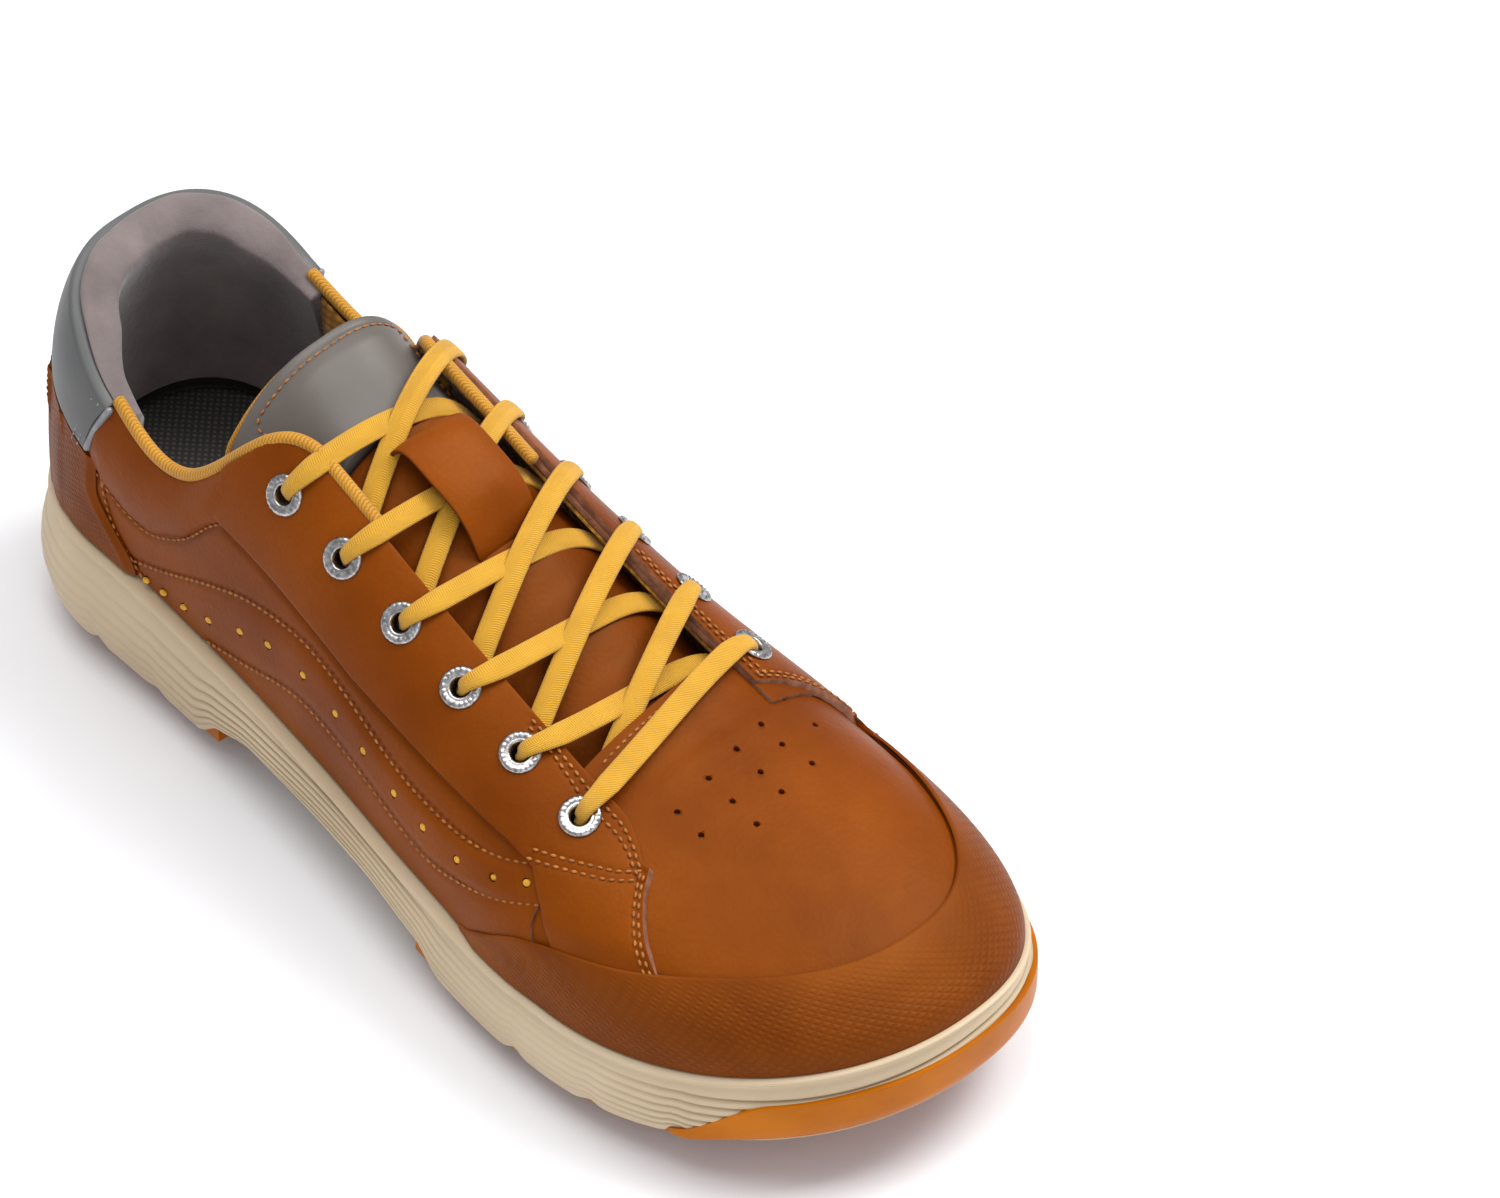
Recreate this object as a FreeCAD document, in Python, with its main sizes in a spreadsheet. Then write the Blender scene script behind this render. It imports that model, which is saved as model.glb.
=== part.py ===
"""A laced golf shoe with screw-in cleats, right foot, in millimetres.

+X points to the toe, +Y to the medial (inner) side and +Z up. The origin is on the
ground under the middle of the sole. The upper is cut from panels of one closed
surface, the last, which is given by a formula and a few driving curves. Every
panel is a layer at a stated depth under or over that surface.
"""
import FreeCAD, Part
import math
import os
import Sketcher
from FreeCAD import Placement, Rotation, Vector

doc = FreeCAD.newDocument("golf_shoe")

# ---------------------------------------------------------------- dimensions
DIMENSIONS = [
    ("heel_focus", -108), ("toe_focus", 72), ("heel_reach", 37.5), ("toe_reach", 73.5),
    ("toe_spring", 14), ("spring_start", 60), ("spring_length", 90),
    ("leather", 1.5), ("overlay", 1.5), ("lining", 1.0), ("layer_gap", 0.3),
    ("collar_padding", 6.0), ("tongue_thickness", 4.5), ("tongue_depth", 7.6), ("tongue_side_drop", 4.0),
    ("sole_margin", 4.5), ("ground_clearance", 8.0), ("outsole_plate", 3.0),
    ("lug_height", 3.5), ("backing_plate", 0.7), ("arch_rise", 4.5),
    ("board", 1.8), ("insole", 3.7), ("midsole_cup", 6.0),
    ("eyelet_flange", 5.1), ("eyelet_barrel", 3.05), ("eyelet_bore", 2.35),
    ("eyelet_height", 1.1), ("eyelet_depth", 5.2),
    ("lace_diameter", 2.2),
    ("cleat_flange", 11.5), ("cleat_dome", 2.4), ("cleat_hub", 5.5), ("cleat_leg_reach", 12.4),
    ("cleat_leg_width", 3.2), ("cleat_leg_inner", 6.2), ("cleat_gap", 0.25),
    ("wrench_hole", 0.9), ("wrench_pitch", 3.4),
    ("stud_radius", 3.0), ("stud_length", 5.0),
    ("receptacle_radius", 7.0), ("receptacle_bore", 3.3), ("receptacle_height", 7.0),
]
sheet = doc.addObject("Spreadsheet::Sheet", "Dimensions")
for row, (alias, value) in enumerate(DIMENSIONS, start=1):
    sheet.set("A%d" % row, alias)
    sheet.set("B%d" % row, str(value))
    sheet.setAlias("B%d" % row, alias)
doc.recompute()


def size(alias):
    """A driving dimension read from the sheet."""
    return float(sheet.get(alias))


HEEL_X = size("heel_focus")
TOE_X = size("toe_focus")
GAP = size("layer_gap")
LATERAL = -1
MEDIAL = 1

# Driving curves of the last: pairs of x and a value, joined by smooth cubics.
SPINE = [(-108, -1), (-45, 1.5), (20, 4.5), (72, 6)]
LATERAL_WIDTH = [(-108, 37), (-60, 41), (-20, 47), (20, 55), (57, 61), (72, 61)]
MEDIAL_WIDTH = [(-108, 35.5), (-60, 36), (-20, 37.5), (20, 41), (57, 46), (72, 46)]
RIDGE = [(-146, 125), (-108, 124), (-70, 119), (-45, 109), (-4, 90), (25, 77.5), (57, 66),
         (80, 61), (110, 57), (146, 53)]
FEATHER = [(-146, 38.5), (-108, 37), (-60, 33), (0, 28.5), (60, 26.5), (146, 26.5)]
SECTION_POWER = 2.6
CROWN_POWER = 2.3
HEEL_POWER = 2.2
TOE_POWER = {LATERAL: 2.05, MEDIAL: 2.45}
HEEL_SHARE = 0.1
SIDE_SHARE = 0.36


def along(table, x):
    """Smooth cubic interpolation of a driving curve."""
    x = min(max(x, table[0][0]), table[-1][0])
    slopes = [(b[1] - a[1]) / (b[0] - a[0]) for a, b in zip(table, table[1:])]
    tangents = [0.0]
    for left, right in zip(slopes, slopes[1:]):
        tangents.append(0.5 * (left + right))
    tangents.append(0.0)
    i = 0
    while i < len(table) - 2 and x > table[i + 1][0]:
        i += 1
    step = table[i + 1][0] - table[i][0]
    k = (x - table[i][0]) / step
    return ((2 * k**3 - 3 * k**2 + 1) * table[i][1] + (k**3 - 2 * k**2 + k) * step * tangents[i]
            + (3 * k**2 - 2 * k**3) * table[i + 1][1] + (k**3 - k**2) * step * tangents[i + 1])


def spring(x):
    """How far the sole lifts towards the toe."""
    return size("toe_spring") * (max(0.0, x - size("spring_start")) / size("spring_length"))**2


def feather(x):
    """Height of the line where the upper meets the midsole."""
    return along(FEATHER, x) + spring(x)


def half_width(x, side):
    return along(LATERAL_WIDTH if side == LATERAL else MEDIAL_WIDTH, x)


def ray(side, v):
    """Focus and outline point at v: 0 is the back of the heel, 0.5 is the toe."""
    if v < HEEL_SHARE:
        angle = 0.5 * math.pi * v / HEEL_SHARE
        focus_x, reach, power = HEEL_X, -size("heel_reach"), HEEL_POWER
    elif v <= SIDE_SHARE:
        x = HEEL_X + (TOE_X - HEEL_X) * (v - HEEL_SHARE) / (SIDE_SHARE - HEEL_SHARE)
        middle = along(SPINE, x)
        return (x, middle), (x, middle + side * half_width(x, side))
    else:
        angle = 0.5 * math.pi * (0.5 - v) / (0.5 - SIDE_SHARE)
        focus_x, reach, power = TOE_X, size("toe_reach"), TOE_POWER[side]
    width = half_width(focus_x, side)
    middle = along(SPINE, focus_x)
    radius = ((math.cos(angle) / abs(reach))**power + (math.sin(angle) / width)**power)**(-1 / power)
    run = math.copysign(radius * math.cos(angle), reach)
    return (focus_x, middle), (focus_x + run, middle + side * radius * math.sin(angle))


def v_at(x):
    """Perimeter value of a station between the heel and toe foci."""
    return HEEL_SHARE + (SIDE_SHARE - HEEL_SHARE) * (x - HEEL_X) / (TOE_X - HEEL_X)


def last_point(side, v, t):
    """Point of the last: t is 0 at the feather line and 1 on the ridge."""
    focus, rim = ray(side, v)
    plan = max(0.0, math.cos(0.5 * math.pi * t))**(2 / SECTION_POWER)
    lift = max(0.0, math.sin(0.5 * math.pi * t))**(2 / CROWN_POWER)
    x = focus[0] + (rim[0] - focus[0]) * plan
    y = focus[1] + (rim[1] - focus[1]) * plan
    return Vector(x, y, feather(x) + (along(RIDGE, x) - feather(x)) * lift)


def last_height(x, y):
    """Height of the last over a plan position."""
    middle = along(SPINE, min(max(x, HEEL_X), TOE_X))
    side = LATERAL if y < middle else MEDIAL
    across = abs(y - middle) / half_width(x, side)
    ahead = max(0.0, x - TOE_X) / size("toe_reach")
    power = TOE_POWER[side]
    share = (ahead**power + across**power)**(1 / power) if ahead > 0 else across
    share = min(share, 0.999)
    return feather(x) + (along(RIDGE, x) - feather(x)) * (1 - share**SECTION_POWER)**(1 / CROWN_POWER)


def last_normal(side, v, t):
    """Outward unit normal of the last."""
    dv, dt = 0.002, 0.01
    low, high = max(t - dt, 0.002), min(t + dt, 0.995)
    across = last_point(side, v, high) - last_point(side, v, low)
    middle = min(max(t, 0.01), 0.985)
    behind = last_point(side if v >= dv else -side, abs(v - dv), middle)
    front = last_point(side if v <= 0.5 - dv else -side, min(v + dv, 1 - v - dv), middle)
    normal = (front - behind).cross(across)
    normal.normalize()
    centre = Vector(last_point(side, v, 1.0))
    centre.z = feather(centre.x)
    if normal.dot(last_point(side, v, t) - centre) < 0:
        normal = normal * -1
    return normal


def crown_normal(x, y):
    """Outward unit normal of the last from its height function."""
    step = 0.5
    slope_x = (last_height(x + step, y) - last_height(x - step, y)) / (2 * step)
    slope_y = (last_height(x, y + step) - last_height(x, y - step)) / (2 * step)
    normal = Vector(-slope_x, -slope_y, 1)
    normal.normalize()
    return normal


def t_at_height(side, v, z):
    """Section value where the last reaches a height."""
    low, high = 0.0, 1.0
    for _ in range(30):
        middle = 0.5 * (low + high)
        if last_point(side, v, middle).z < z:
            low = middle
        else:
            high = middle
    return low


def t_at_y(side, v, y):
    """Section value where the last reaches a plan offset on its straight sides."""
    focus, rim = ray(side, v)
    share = min(1.0, abs(y - focus[1]) / abs(rim[1] - focus[1]))
    return 2 / math.pi * math.acos(share**(SECTION_POWER / 2))


# ---------------------------------------------------------------- shell builder
def fitted_surface(grid):
    surface = Part.BSplineSurface()
    surface.interpolate(grid)
    return surface


def solid_between(outer, inner):
    """Closed solid between two grids of points with the same layout."""
    top = fitted_surface(outer)
    bottom = fitted_surface(inner)
    faces = [top.toShape(), bottom.toShape()]
    u0, u1, v0, v1 = top.bounds()
    p0, p1, q0, q1 = bottom.bounds()
    sides = [(top.uIso(u0), bottom.uIso(p0)), (top.uIso(u1), bottom.uIso(p1)),
             (top.vIso(v0), bottom.vIso(q0)), (top.vIso(v1), bottom.vIso(q1))]
    for upper, lower in sides:
        faces.append(Part.makeRuledSurface(upper.toShape(), lower.toShape()))
    skin = Part.Compound(faces)
    skin.sewShape(1e-4)
    solid = Part.Solid(skin.Shells[0])
    if solid.Volume < 0:
        solid.reverse()
    return solid


def panel(where, top, bottom, steps_along, steps_up):
    """Layer of the last between two depths; where(a, b) gives side, v and t."""
    outer = []
    inner = []
    for i in range(steps_along + 1):
        outer_row = []
        inner_row = []
        for j in range(steps_up + 1):
            side, v, t = where(i / steps_along, j / steps_up)
            base = last_point(side, v, t)
            normal = last_normal(side, v, t)
            if t < 0.02:
                normal.z = 0
                normal.normalize()
            outer_row.append(base + normal * top)
            inner_row.append(base + normal * bottom)
        outer.append(outer_row)
        inner.append(inner_row)
    return solid_between(outer, inner)


def crown_panel(where, top, bottom, steps_along, steps_across):
    """Layer over the crown of the last; where(a, b) gives x and y."""
    outer = []
    inner = []
    for i in range(steps_along + 1):
        spots = [where(i / steps_along, j / steps_across) for j in range(steps_across + 1)]
        bases = [Vector(x, y, last_height(x, y)) for x, y in spots]
        normals = [crown_normal(x, y) for x, y in spots]
        outer.append([p + n * top for p, n in zip(bases, normals)])
        inner.append([p + n * bottom for p, n in zip(bases, normals)])
    return solid_between(outer, inner)


def feature(name, shape):
    item = doc.addObject("Part::Feature", name)
    item.Shape = shape
    item.Label = name
    return item


def mix(a, b, k):
    return a + (b - a) * k


# ---------------------------------------------------------------- lines of the upper
TOPLINE = [(0, 104), (0.04, 103), (0.07, 98), (v_at(-108), 87), (v_at(-92), 78), (v_at(-80), 77.5),
           (v_at(-71), 82), (v_at(-62), 92), (v_at(-52), 101.5)]
THROAT_END = {LATERAL: -51.0, MEDIAL: -60.0}
THROAT_FRONT = 61.5
THROAT_EDGE = {LATERAL: [(-60, -21.5), (60, -23.5)], MEDIAL: [(-60, 22.5), (60, 26)]}
MEDIAL_TOPLINE_LIFT = 4.0
FOOT_OF_PANEL = 0.004


def topline(side, v):
    """Section value of the upper's top edge, from the heel to the front of the throat."""
    end = v_at(THROAT_END[side])
    if v >= end:
        x = ray(side, v)[1][0]
        (x0, y0), (x1, y1) = THROAT_EDGE[side]
        return t_at_y(side, v, mix(y0, y1, (x - x0) / (x1 - x0)))
    shift = 0 if side == LATERAL else (v_at(-60) - v_at(-51)) * max(0, v - HEEL_SHARE) / (end - HEEL_SHARE)
    lift = 0 if side == LATERAL else MEDIAL_TOPLINE_LIFT * math.sin(math.pi * min(1, v / end))
    t_line = t_at_height(side, v, along(TOPLINE, v + shift) + lift)
    (x0, y0), (x1, y1) = THROAT_EDGE[side]
    return min(t_line, t_at_y(side, v, y0) if v > HEEL_SHARE else 0.9)


EYELET_COUNT = 6
EYELET_FIRST = {LATERAL: 57.0, MEDIAL: 46.0}
EYELET_LAST = {LATERAL: -45.0, MEDIAL: -54.5}
EYELET_INSET = 7.8


def eyelet_spot(side, i):
    """Centre on the last and outward normal of an eyelet, counted from the toe."""
    x = mix(EYELET_FIRST[side], EYELET_LAST[side], i / (EYELET_COUNT - 1))
    (x0, y0), (x1, y1) = THROAT_EDGE[side]
    y = mix(y0, y1, (x - x0) / (x1 - x0)) + side * EYELET_INSET
    return Vector(x, y, last_height(x, y)), crown_normal(x, y)


def eyelet_drills(side, radius):
    """Cylinders that cut an eyelet row through the layers."""
    drills = []
    for i in range(EYELET_COUNT):
        centre, normal = eyelet_spot(side, i)
        drills.append(Part.makeCylinder(radius, 16, centre - normal * 9, normal))
    return Part.Compound(drills)


# ---------------------------------------------------------------- upper panels
def quarter(side, top, bottom, rear_v, front_x, foot_t, clear_top):
    """One side of the shoe from the back seam to the front of the throat."""
    front_v = v_at(front_x)

    def where(a, b):
        v = mix(rear_v, front_v, a)
        return side, v, mix(foot_t, topline(side, v) - clear_top, b)
    return panel(where, top, bottom, 48, 10)


LEATHER = size("leather")
LINING = size("lining")
COVER_BASE = GAP
COVER_TOP = GAP + size("overlay")
LINING_TOP = -LEATHER - GAP
LINING_BASE = LINING_TOP - LINING

for side, word in ((LATERAL, "lateral"), (MEDIAL, "medial")):
    drills = eyelet_drills(side, size("eyelet_barrel") + 0.15)
    base = quarter(side, 0, -LEATHER, 0.002, THROAT_FRONT, FOOT_OF_PANEL, 0.0)
    feature("quarter_" + word, base.cut(drills))
    inner = quarter(side, LINING_TOP, LINING_BASE, v_at(-84), THROAT_FRONT, FOOT_OF_PANEL, 0.004)
    feature("quarter_lining_" + word, inner.cut(drills))

CAP_SEAM = {LATERAL: [(v_at(46), 0.10), (v_at(60), 0.2), (0.385, 0.36), (0.43, 0.47), (0.5, 0.52)],
            MEDIAL: [(v_at(38), 0.10), (v_at(60), 0.24), (0.385, 0.36), (0.43, 0.46), (0.5, 0.52)]}


def around_toe(side_ends, a):
    """Side and perimeter value of a run from the lateral end round the toe to the medial end."""
    lateral_end, medial_end = side_ends
    total = (0.5 - lateral_end) + (0.5 - medial_end)
    distance = a * total
    if distance <= 0.5 - lateral_end:
        return LATERAL, lateral_end + distance
    return MEDIAL, 1.0 - lateral_end - distance


CAP_ENDS = (CAP_SEAM[LATERAL][0][0], CAP_SEAM[MEDIAL][0][0])


def cap_line(side, v):
    return along(CAP_SEAM[side], v)


def cap_where(a, b):
    side, v = around_toe(CAP_ENDS, a)
    return side, v, mix(FOOT_OF_PANEL, cap_line(side, v), b)


feature("toe_cap", panel(cap_where, COVER_TOP, COVER_BASE, 60, 8))
VAMP_FRONT = 134.0
VAMP_SHARE = 0.975
VAMP_FRONT_SHARE = 0.89


def vamp_share(x):
    """How near the feather line the vamp's hidden edge runs, 1 being on it."""
    if x < TOE_X:
        return VAMP_SHARE
    return mix(VAMP_SHARE, VAMP_FRONT_SHARE, min(1, (x - TOE_X) / 50))


def vamp_edge(side, x):
    """Plan offset of the vamp's hidden edge, a little under the toe cap."""
    ahead = max(0.0, x - TOE_X) / size("toe_reach")
    power = TOE_POWER[side]
    share = vamp_share(x)
    across = max(0.0, share**power - ahead**power)**(1 / power)
    return along(SPINE, x) + side * half_width(x, side) * across


def vamp_where(rear, front):
    def where(a, b):
        x = mix(rear, front, math.sin(0.5 * math.pi * a)**0.9 if front > 100 else a)
        return x, mix(vamp_edge(LATERAL, x), vamp_edge(MEDIAL, x), b)
    return where


VAMP_REAR = THROAT_FRONT + 0.4
PUFF_ENDS = (v_at(VAMP_REAR + 0.3), v_at(VAMP_REAR + 0.3))
PUFF_CLEARANCE = 0.016


def puff_where(a, b):
    """Stiffened wall of the toe, from the feather line up to the vamp's hidden edge."""
    side, v = around_toe(PUFF_ENDS, a)
    share = vamp_share(ray(side, v)[1][0] * 0.93) + PUFF_CLEARANCE
    top = 2 / math.pi * math.acos(min(1.0, share)**(SECTION_POWER / 2))
    return side, v, mix(FOOT_OF_PANEL, top, b)


feature("toe_puff", panel(puff_where, 0, -LEATHER, 60, 6))
feature("toe_lining", panel(puff_where, LINING_TOP, LINING_BASE, 60, 6))
feature("vamp", crown_panel(vamp_where(VAMP_REAR, VAMP_FRONT), 0, -LEATHER, 24, 24))
feature("vamp_lining", crown_panel(vamp_where(VAMP_REAR, VAMP_FRONT), LINING_TOP, LINING_BASE, 24, 24))

STAY_LOW = [(v_at(-66), 0.31), (v_at(-23), 0.31), (v_at(9), 0.33), (v_at(54), 0.40), (v_at(90), 0.41)]
STAY_FRONT = {LATERAL: (70.5, 75.0), MEDIAL: (58.5, 66.0)}
STAY_REAR = {LATERAL: -64.0, MEDIAL: -70.0}

for side, word in ((LATERAL, "lateral"), (MEDIAL, "medial")):
    def stay_where(a, b, side=side):
        front_top, front_low = STAY_FRONT[side]
        front = min(TOE_X - 0.5, mix(front_low, front_top, b))
        v = v_at(mix(STAY_REAR[side], front, a))
        return side, v, mix(along(STAY_LOW, v), topline(side, min(v, v_at(THROAT_FRONT))), b)
    stay = panel(stay_where, COVER_TOP, COVER_BASE, 40, 8)
    feature("eyestay_" + word, stay.cut(eyelet_drills(side, size("eyelet_barrel") + 0.15)))


def around_heel(side_ends, a):
    """Side and perimeter value of a run from the lateral end round the heel to the medial end."""
    lateral_end, medial_end = side_ends
    distance = a * (lateral_end + medial_end)
    if distance <= lateral_end:
        return LATERAL, lateral_end - distance
    return MEDIAL, distance - lateral_end


CUFF_LOW = [(0, 79), (0.05, 76), (v_at(-108), 66), (v_at(-95), 61)]
CUFF_FRONT = (0.094, v_at(-104))


def cuff_line(side, v):
    return t_at_height(side, v, along(CUFF_LOW, v))


def cuff_where(a, b):
    end = mix(CUFF_FRONT[0], CUFF_FRONT[1], b)
    side, v = around_heel((end, end), a)
    return side, v, mix(cuff_line(side, v), topline(side, v), b)


def counter_where(a, b):
    end = mix(v_at(-84), CUFF_FRONT[0] + 0.004, b**0.8)
    side, v = around_heel((end, end), a)
    return side, v, mix(FOOT_OF_PANEL, cuff_line(side, v) - 0.01, b)


def stiffener_where(a, b):
    end = mix(v_at(-88), 0.09, b)
    side, v = around_heel((end, end), a)
    return side, v, mix(FOOT_OF_PANEL, cuff_line(side, v) - 0.05, b)


PADDING_END = v_at(-92)


def padding_where(a, b):
    side, v = around_heel((PADDING_END, PADDING_END), a)
    return side, v, mix(FOOT_OF_PANEL, topline(side, v) - 0.006, b)


STIFFENER_BASE = LINING_TOP - 1.2
PADDING_TOP = STIFFENER_BASE - GAP
feature("heel_counter_cover", panel(counter_where, COVER_TOP, COVER_BASE, 44, 8))
feature("collar_cuff", panel(cuff_where, COVER_TOP + 0.5, COVER_BASE, 44, 6))
feature("heel_stiffener", panel(stiffener_where, LINING_TOP, STIFFENER_BASE, 40, 6))
feature("collar_lining", panel(padding_where, PADDING_TOP, PADDING_TOP - size("collar_padding"), 44, 10))

# ---------------------------------------------------------------- tongue
TONGUE_FRONT = 56.0
TONGUE_SEAM = -40.0
TONGUE_BEND = -61.0
TONGUE_END = -84.0
TONGUE_HALF = [(-84, 25), (-61, 27), (0, 28), (60, 24)]
TONGUE_RISE = [(-84, -7), (-61, -3.5), (-40, 0), (60, 0)]


def tongue_piece(rear, front, steps):
    """Padded slab under the throat between two stations."""
    thick = size("tongue_thickness")
    outer = []
    inner = []
    for i in range(steps + 1):
        x = mix(rear, front, i / steps)
        outer_row = []
        inner_row = []
        for j in range(17):
            y = along(SPINE, x) + along(TONGUE_HALF, x) * (j / 8 - 1)
            drop = size("tongue_depth") + size("tongue_side_drop") * (j / 8 - 1)**2
            top = last_height(x, y) - drop + along(TONGUE_RISE, x)
            edge = 1 - 0.45 * abs(j / 8 - 1)**4
            outer_row.append(Vector(x, y, top))
            inner_row.append(Vector(x, y, top - thick * edge))
        outer.append(outer_row)
        inner.append(inner_row)
    return solid_between(outer, inner)


feature("tongue", tongue_piece(TONGUE_SEAM + 0.3, TONGUE_FRONT, 14))
feature("tongue_panel", tongue_piece(TONGUE_BEND + 0.4, TONGUE_SEAM, 5))
feature("tongue_top", tongue_piece(TONGUE_END, TONGUE_BEND, 6))
KEEPER = (-35.0, -4.0)
KEEPER_HALF = 8.5
KEEPER_LIFT = 10.2
KEEPER_THICKNESS = 1.2


def keeper_loop():
    """Leather strap sewn down at its two ends; the laces pass across under its arch."""
    outer = []
    inner = []
    for i in range(13):
        run = i / 6 - 1
        x = mix(KEEPER[0], KEEPER[1], i / 12)
        outer_row = []
        inner_row = []
        for j in range(7):
            y = along(SPINE, x) + KEEPER_HALF * (j / 3 - 1)
            floor = last_height(x, y) - size("tongue_depth") + GAP
            lift = KEEPER_LIFT * (1 - run**4)
            outer_row.append(Vector(x, y, floor + lift + KEEPER_THICKNESS))
            inner_row.append(Vector(x, y, floor + lift))
        outer.append(outer_row)
        inner.append(inner_row)
    return solid_between(outer, inner)


feature("lace_keeper", keeper_loop())

# ---------------------------------------------------------------- eyelets
def bound(item, bindings):
    """Bind properties of an object to cells of the sheet."""
    for prop, expression in bindings.items():
        item.setExpression(prop, expression)
    return item


def cylinder(name, radius, height):
    item = doc.addObject("Part::Cylinder", name)
    return bound(item, {"Radius": radius, "Height": height})


def boolean(kind, name, base, tool):
    item = doc.addObject("Part::" + kind, name)
    item.Base = base
    item.Tool = tool
    return item


flange = cylinder("eyelet_ring_flange", "Dimensions.eyelet_flange", "Dimensions.eyelet_height")
barrel = cylinder("eyelet_ring_barrel", "Dimensions.eyelet_barrel", "Dimensions.eyelet_depth")
barrel.Placement = Placement(Vector(0, 0, -size("eyelet_depth") + 0.2), Rotation())
ring_body = boolean("Fuse", "eyelet_ring_body", flange, barrel)
bore = cylinder("eyelet_ring_bore", "Dimensions.eyelet_bore", "Dimensions.eyelet_depth * 2")
bore.Placement = Placement(Vector(0, 0, -size("eyelet_depth") * 1.2), Rotation())
ring_cut = boolean("Cut", "eyelet_ring_cut", ring_body, bore)
ring = doc.addObject("Part::Fillet", "eyelet_ring")
ring.Base = ring_cut
doc.recompute()
top_edges = [i for i, edge in enumerate(ring_cut.Shape.Edges, start=1)
             if abs(edge.BoundBox.ZMin - size("eyelet_height")) < 1e-6
             and abs(edge.BoundBox.ZMax - size("eyelet_height")) < 1e-6]
ring.Edges = [(i, 0.5, 0.5) for i in top_edges]
doc.recompute()

for side, word in ((LATERAL, "lateral"), (MEDIAL, "medial")):
    rings = []
    for i in range(EYELET_COUNT):
        centre, normal = eyelet_spot(side, i)
        one = ring.Shape.copy()
        one.Placement = Placement(centre + normal * (COVER_TOP + 0.05), Rotation(Vector(0, 0, 1), normal))
        rings.append(one)
    feature("eyelets_" + word, Part.Compound(rings))


# ---------------------------------------------------------------- shoelace
LACE_RADIUS = size("lace_diameter") / 2
LACE_OVER = COVER_TOP + size("eyelet_height") + LACE_RADIUS + 0.5
LACE_UNDER = LINING_BASE - LACE_RADIUS - 0.8
UPPER_STRAND = -0.6
LOWER_STRAND = -3.3


def lace_station(side, i, depth, inward, ahead=0.0):
    """Point beside an eyelet: inward is towards the middle of the throat."""
    centre, normal = eyelet_spot(side, i)
    x = centre.x + ahead
    y = centre.y - side * inward
    return Vector(x, y, last_height(x, y)) + crown_normal(x, y) * depth


def crossing(start, end, lift):
    """Middle of a strand where it crosses its partner."""
    middle = (start + end) * 0.5
    middle.z = last_height(middle.x, middle.y) + lift
    return middle


def strand(side, i):
    """Route from inside one eyelet, out past its facing edge and over to the next row."""
    edge = lace_station(side, i, LACE_UNDER, EYELET_INSET + 2.5, -4.0)
    rim = lace_station(-side, i + 1, LACE_OVER, EYELET_INSET, 4.0)
    middle = crossing(edge, rim, UPPER_STRAND if side == LATERAL else LOWER_STRAND)
    return [lace_station(side, i, LACE_UNDER, 0), edge, middle, rim, lace_station(-side, i + 1, LACE_OVER, 0)]


TAIL_SLACK = 1.4
TAIL_STEPS = [(-4.0, 0.09), (-8.0, 0.19), (-11.0, 0.30)]


def tail(side):
    """The end that drops down the inside of the quarter after the last eyelet."""
    centre, normal = eyelet_spot(side, EYELET_COUNT - 1)
    points = [lace_station(side, EYELET_COUNT - 1, LACE_UNDER, 0)]
    for ahead, drop in TAIL_STEPS:
        v = v_at(centre.x + ahead)
        t = t_at_y(side, v, centre.y) - drop
        points.append(last_point(side, v, t) + last_normal(side, v, t) * (LACE_UNDER - TAIL_SLACK))
    return points


def lace_route():
    """Every bend of the lace from the lateral tail to the medial tail."""
    def climb(side):
        points = []
        for i in range(EYELET_COUNT - 1):
            points += strand(side, i)
            side = -side
        return points + tail(side)
    bar = [lace_station(side, 0, LACE_OVER, inward) for side, inward in
           ((LATERAL, 0), (LATERAL, 9), (MEDIAL, 9), (MEDIAL, 0))]
    return list(reversed(climb(LATERAL))) + bar + climb(MEDIAL)


def rounded_wire(points, share=0.45):
    """Straight runs joined by tangent arcs; each radius follows the shorter run."""
    edges = []
    start = points[0]
    for before, corner, after in zip(points, points[1:], points[2:]):
        back = before - corner
        ahead = after - corner
        reach = share * min(back.Length, ahead.Length)
        back.normalize()
        ahead.normalize()
        enter = corner + back * reach
        leave = corner + ahead * reach
        turn = math.pi - back.getAngle(ahead)
        radius = reach / math.tan(turn / 2)
        bisector = back + ahead
        bisector.normalize()
        centre = corner + bisector * math.hypot(radius, reach)
        edges.append(Part.makeLine(start, enter))
        edges.append(Part.Arc(enter, centre - bisector * radius, leave).toShape())
        start = leave
    edges.append(Part.makeLine(start, points[-1]))
    return Part.Wire(edges)


lace_points = lace_route()
lace_wire = rounded_wire(lace_points)
section = Part.Wire(Part.makeCircle(LACE_RADIUS, lace_points[0], lace_points[1] - lace_points[0]))
lace_solid = lace_wire.makePipeShell([section], True, False)
print("lace length", round(lace_wire.Length, 1), "volume ratio",
      round(lace_solid.Volume / (math.pi * LACE_RADIUS**2 * lace_wire.Length), 4))
feature("shoelace", lace_solid)

AGLET_LENGTH = 16.0
aglets = []
for end, inner in ((lace_points[0], lace_points[1]), (lace_points[-1], lace_points[-2])):
    outward = end - inner
    outward.normalize()
    aglets.append(Part.makeCylinder(LACE_RADIUS + 0.2, AGLET_LENGTH, end + outward * 0.02, outward))
feature("lace_aglets", Part.Compound(aglets))


# ---------------------------------------------------------------- sole outlines
SOLE_STATIONS = 28


def rim_point(side, v, margin):
    """Plan point outside the feather line by a margin."""
    focus, rim = ray(side, v)
    step = 0.003
    here = Vector(rim[0], rim[1], 0)
    back = ray(side, v - step)[1] if v > step else ray(-side, step)[1]
    ahead = ray(side, v + step)[1] if v < 0.5 - step else ray(-side, 0.5 - step)[1]
    run = Vector(ahead[0] - back[0], ahead[1] - back[1], 0)
    out = Vector(run.y, -run.x, 0) if side == LATERAL else Vector(-run.y, run.x, 0)
    if out.dot(here - Vector(focus[0], focus[1], 0)) < 0:
        out = out * -1
    out.normalize()
    return here + out * margin


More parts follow.
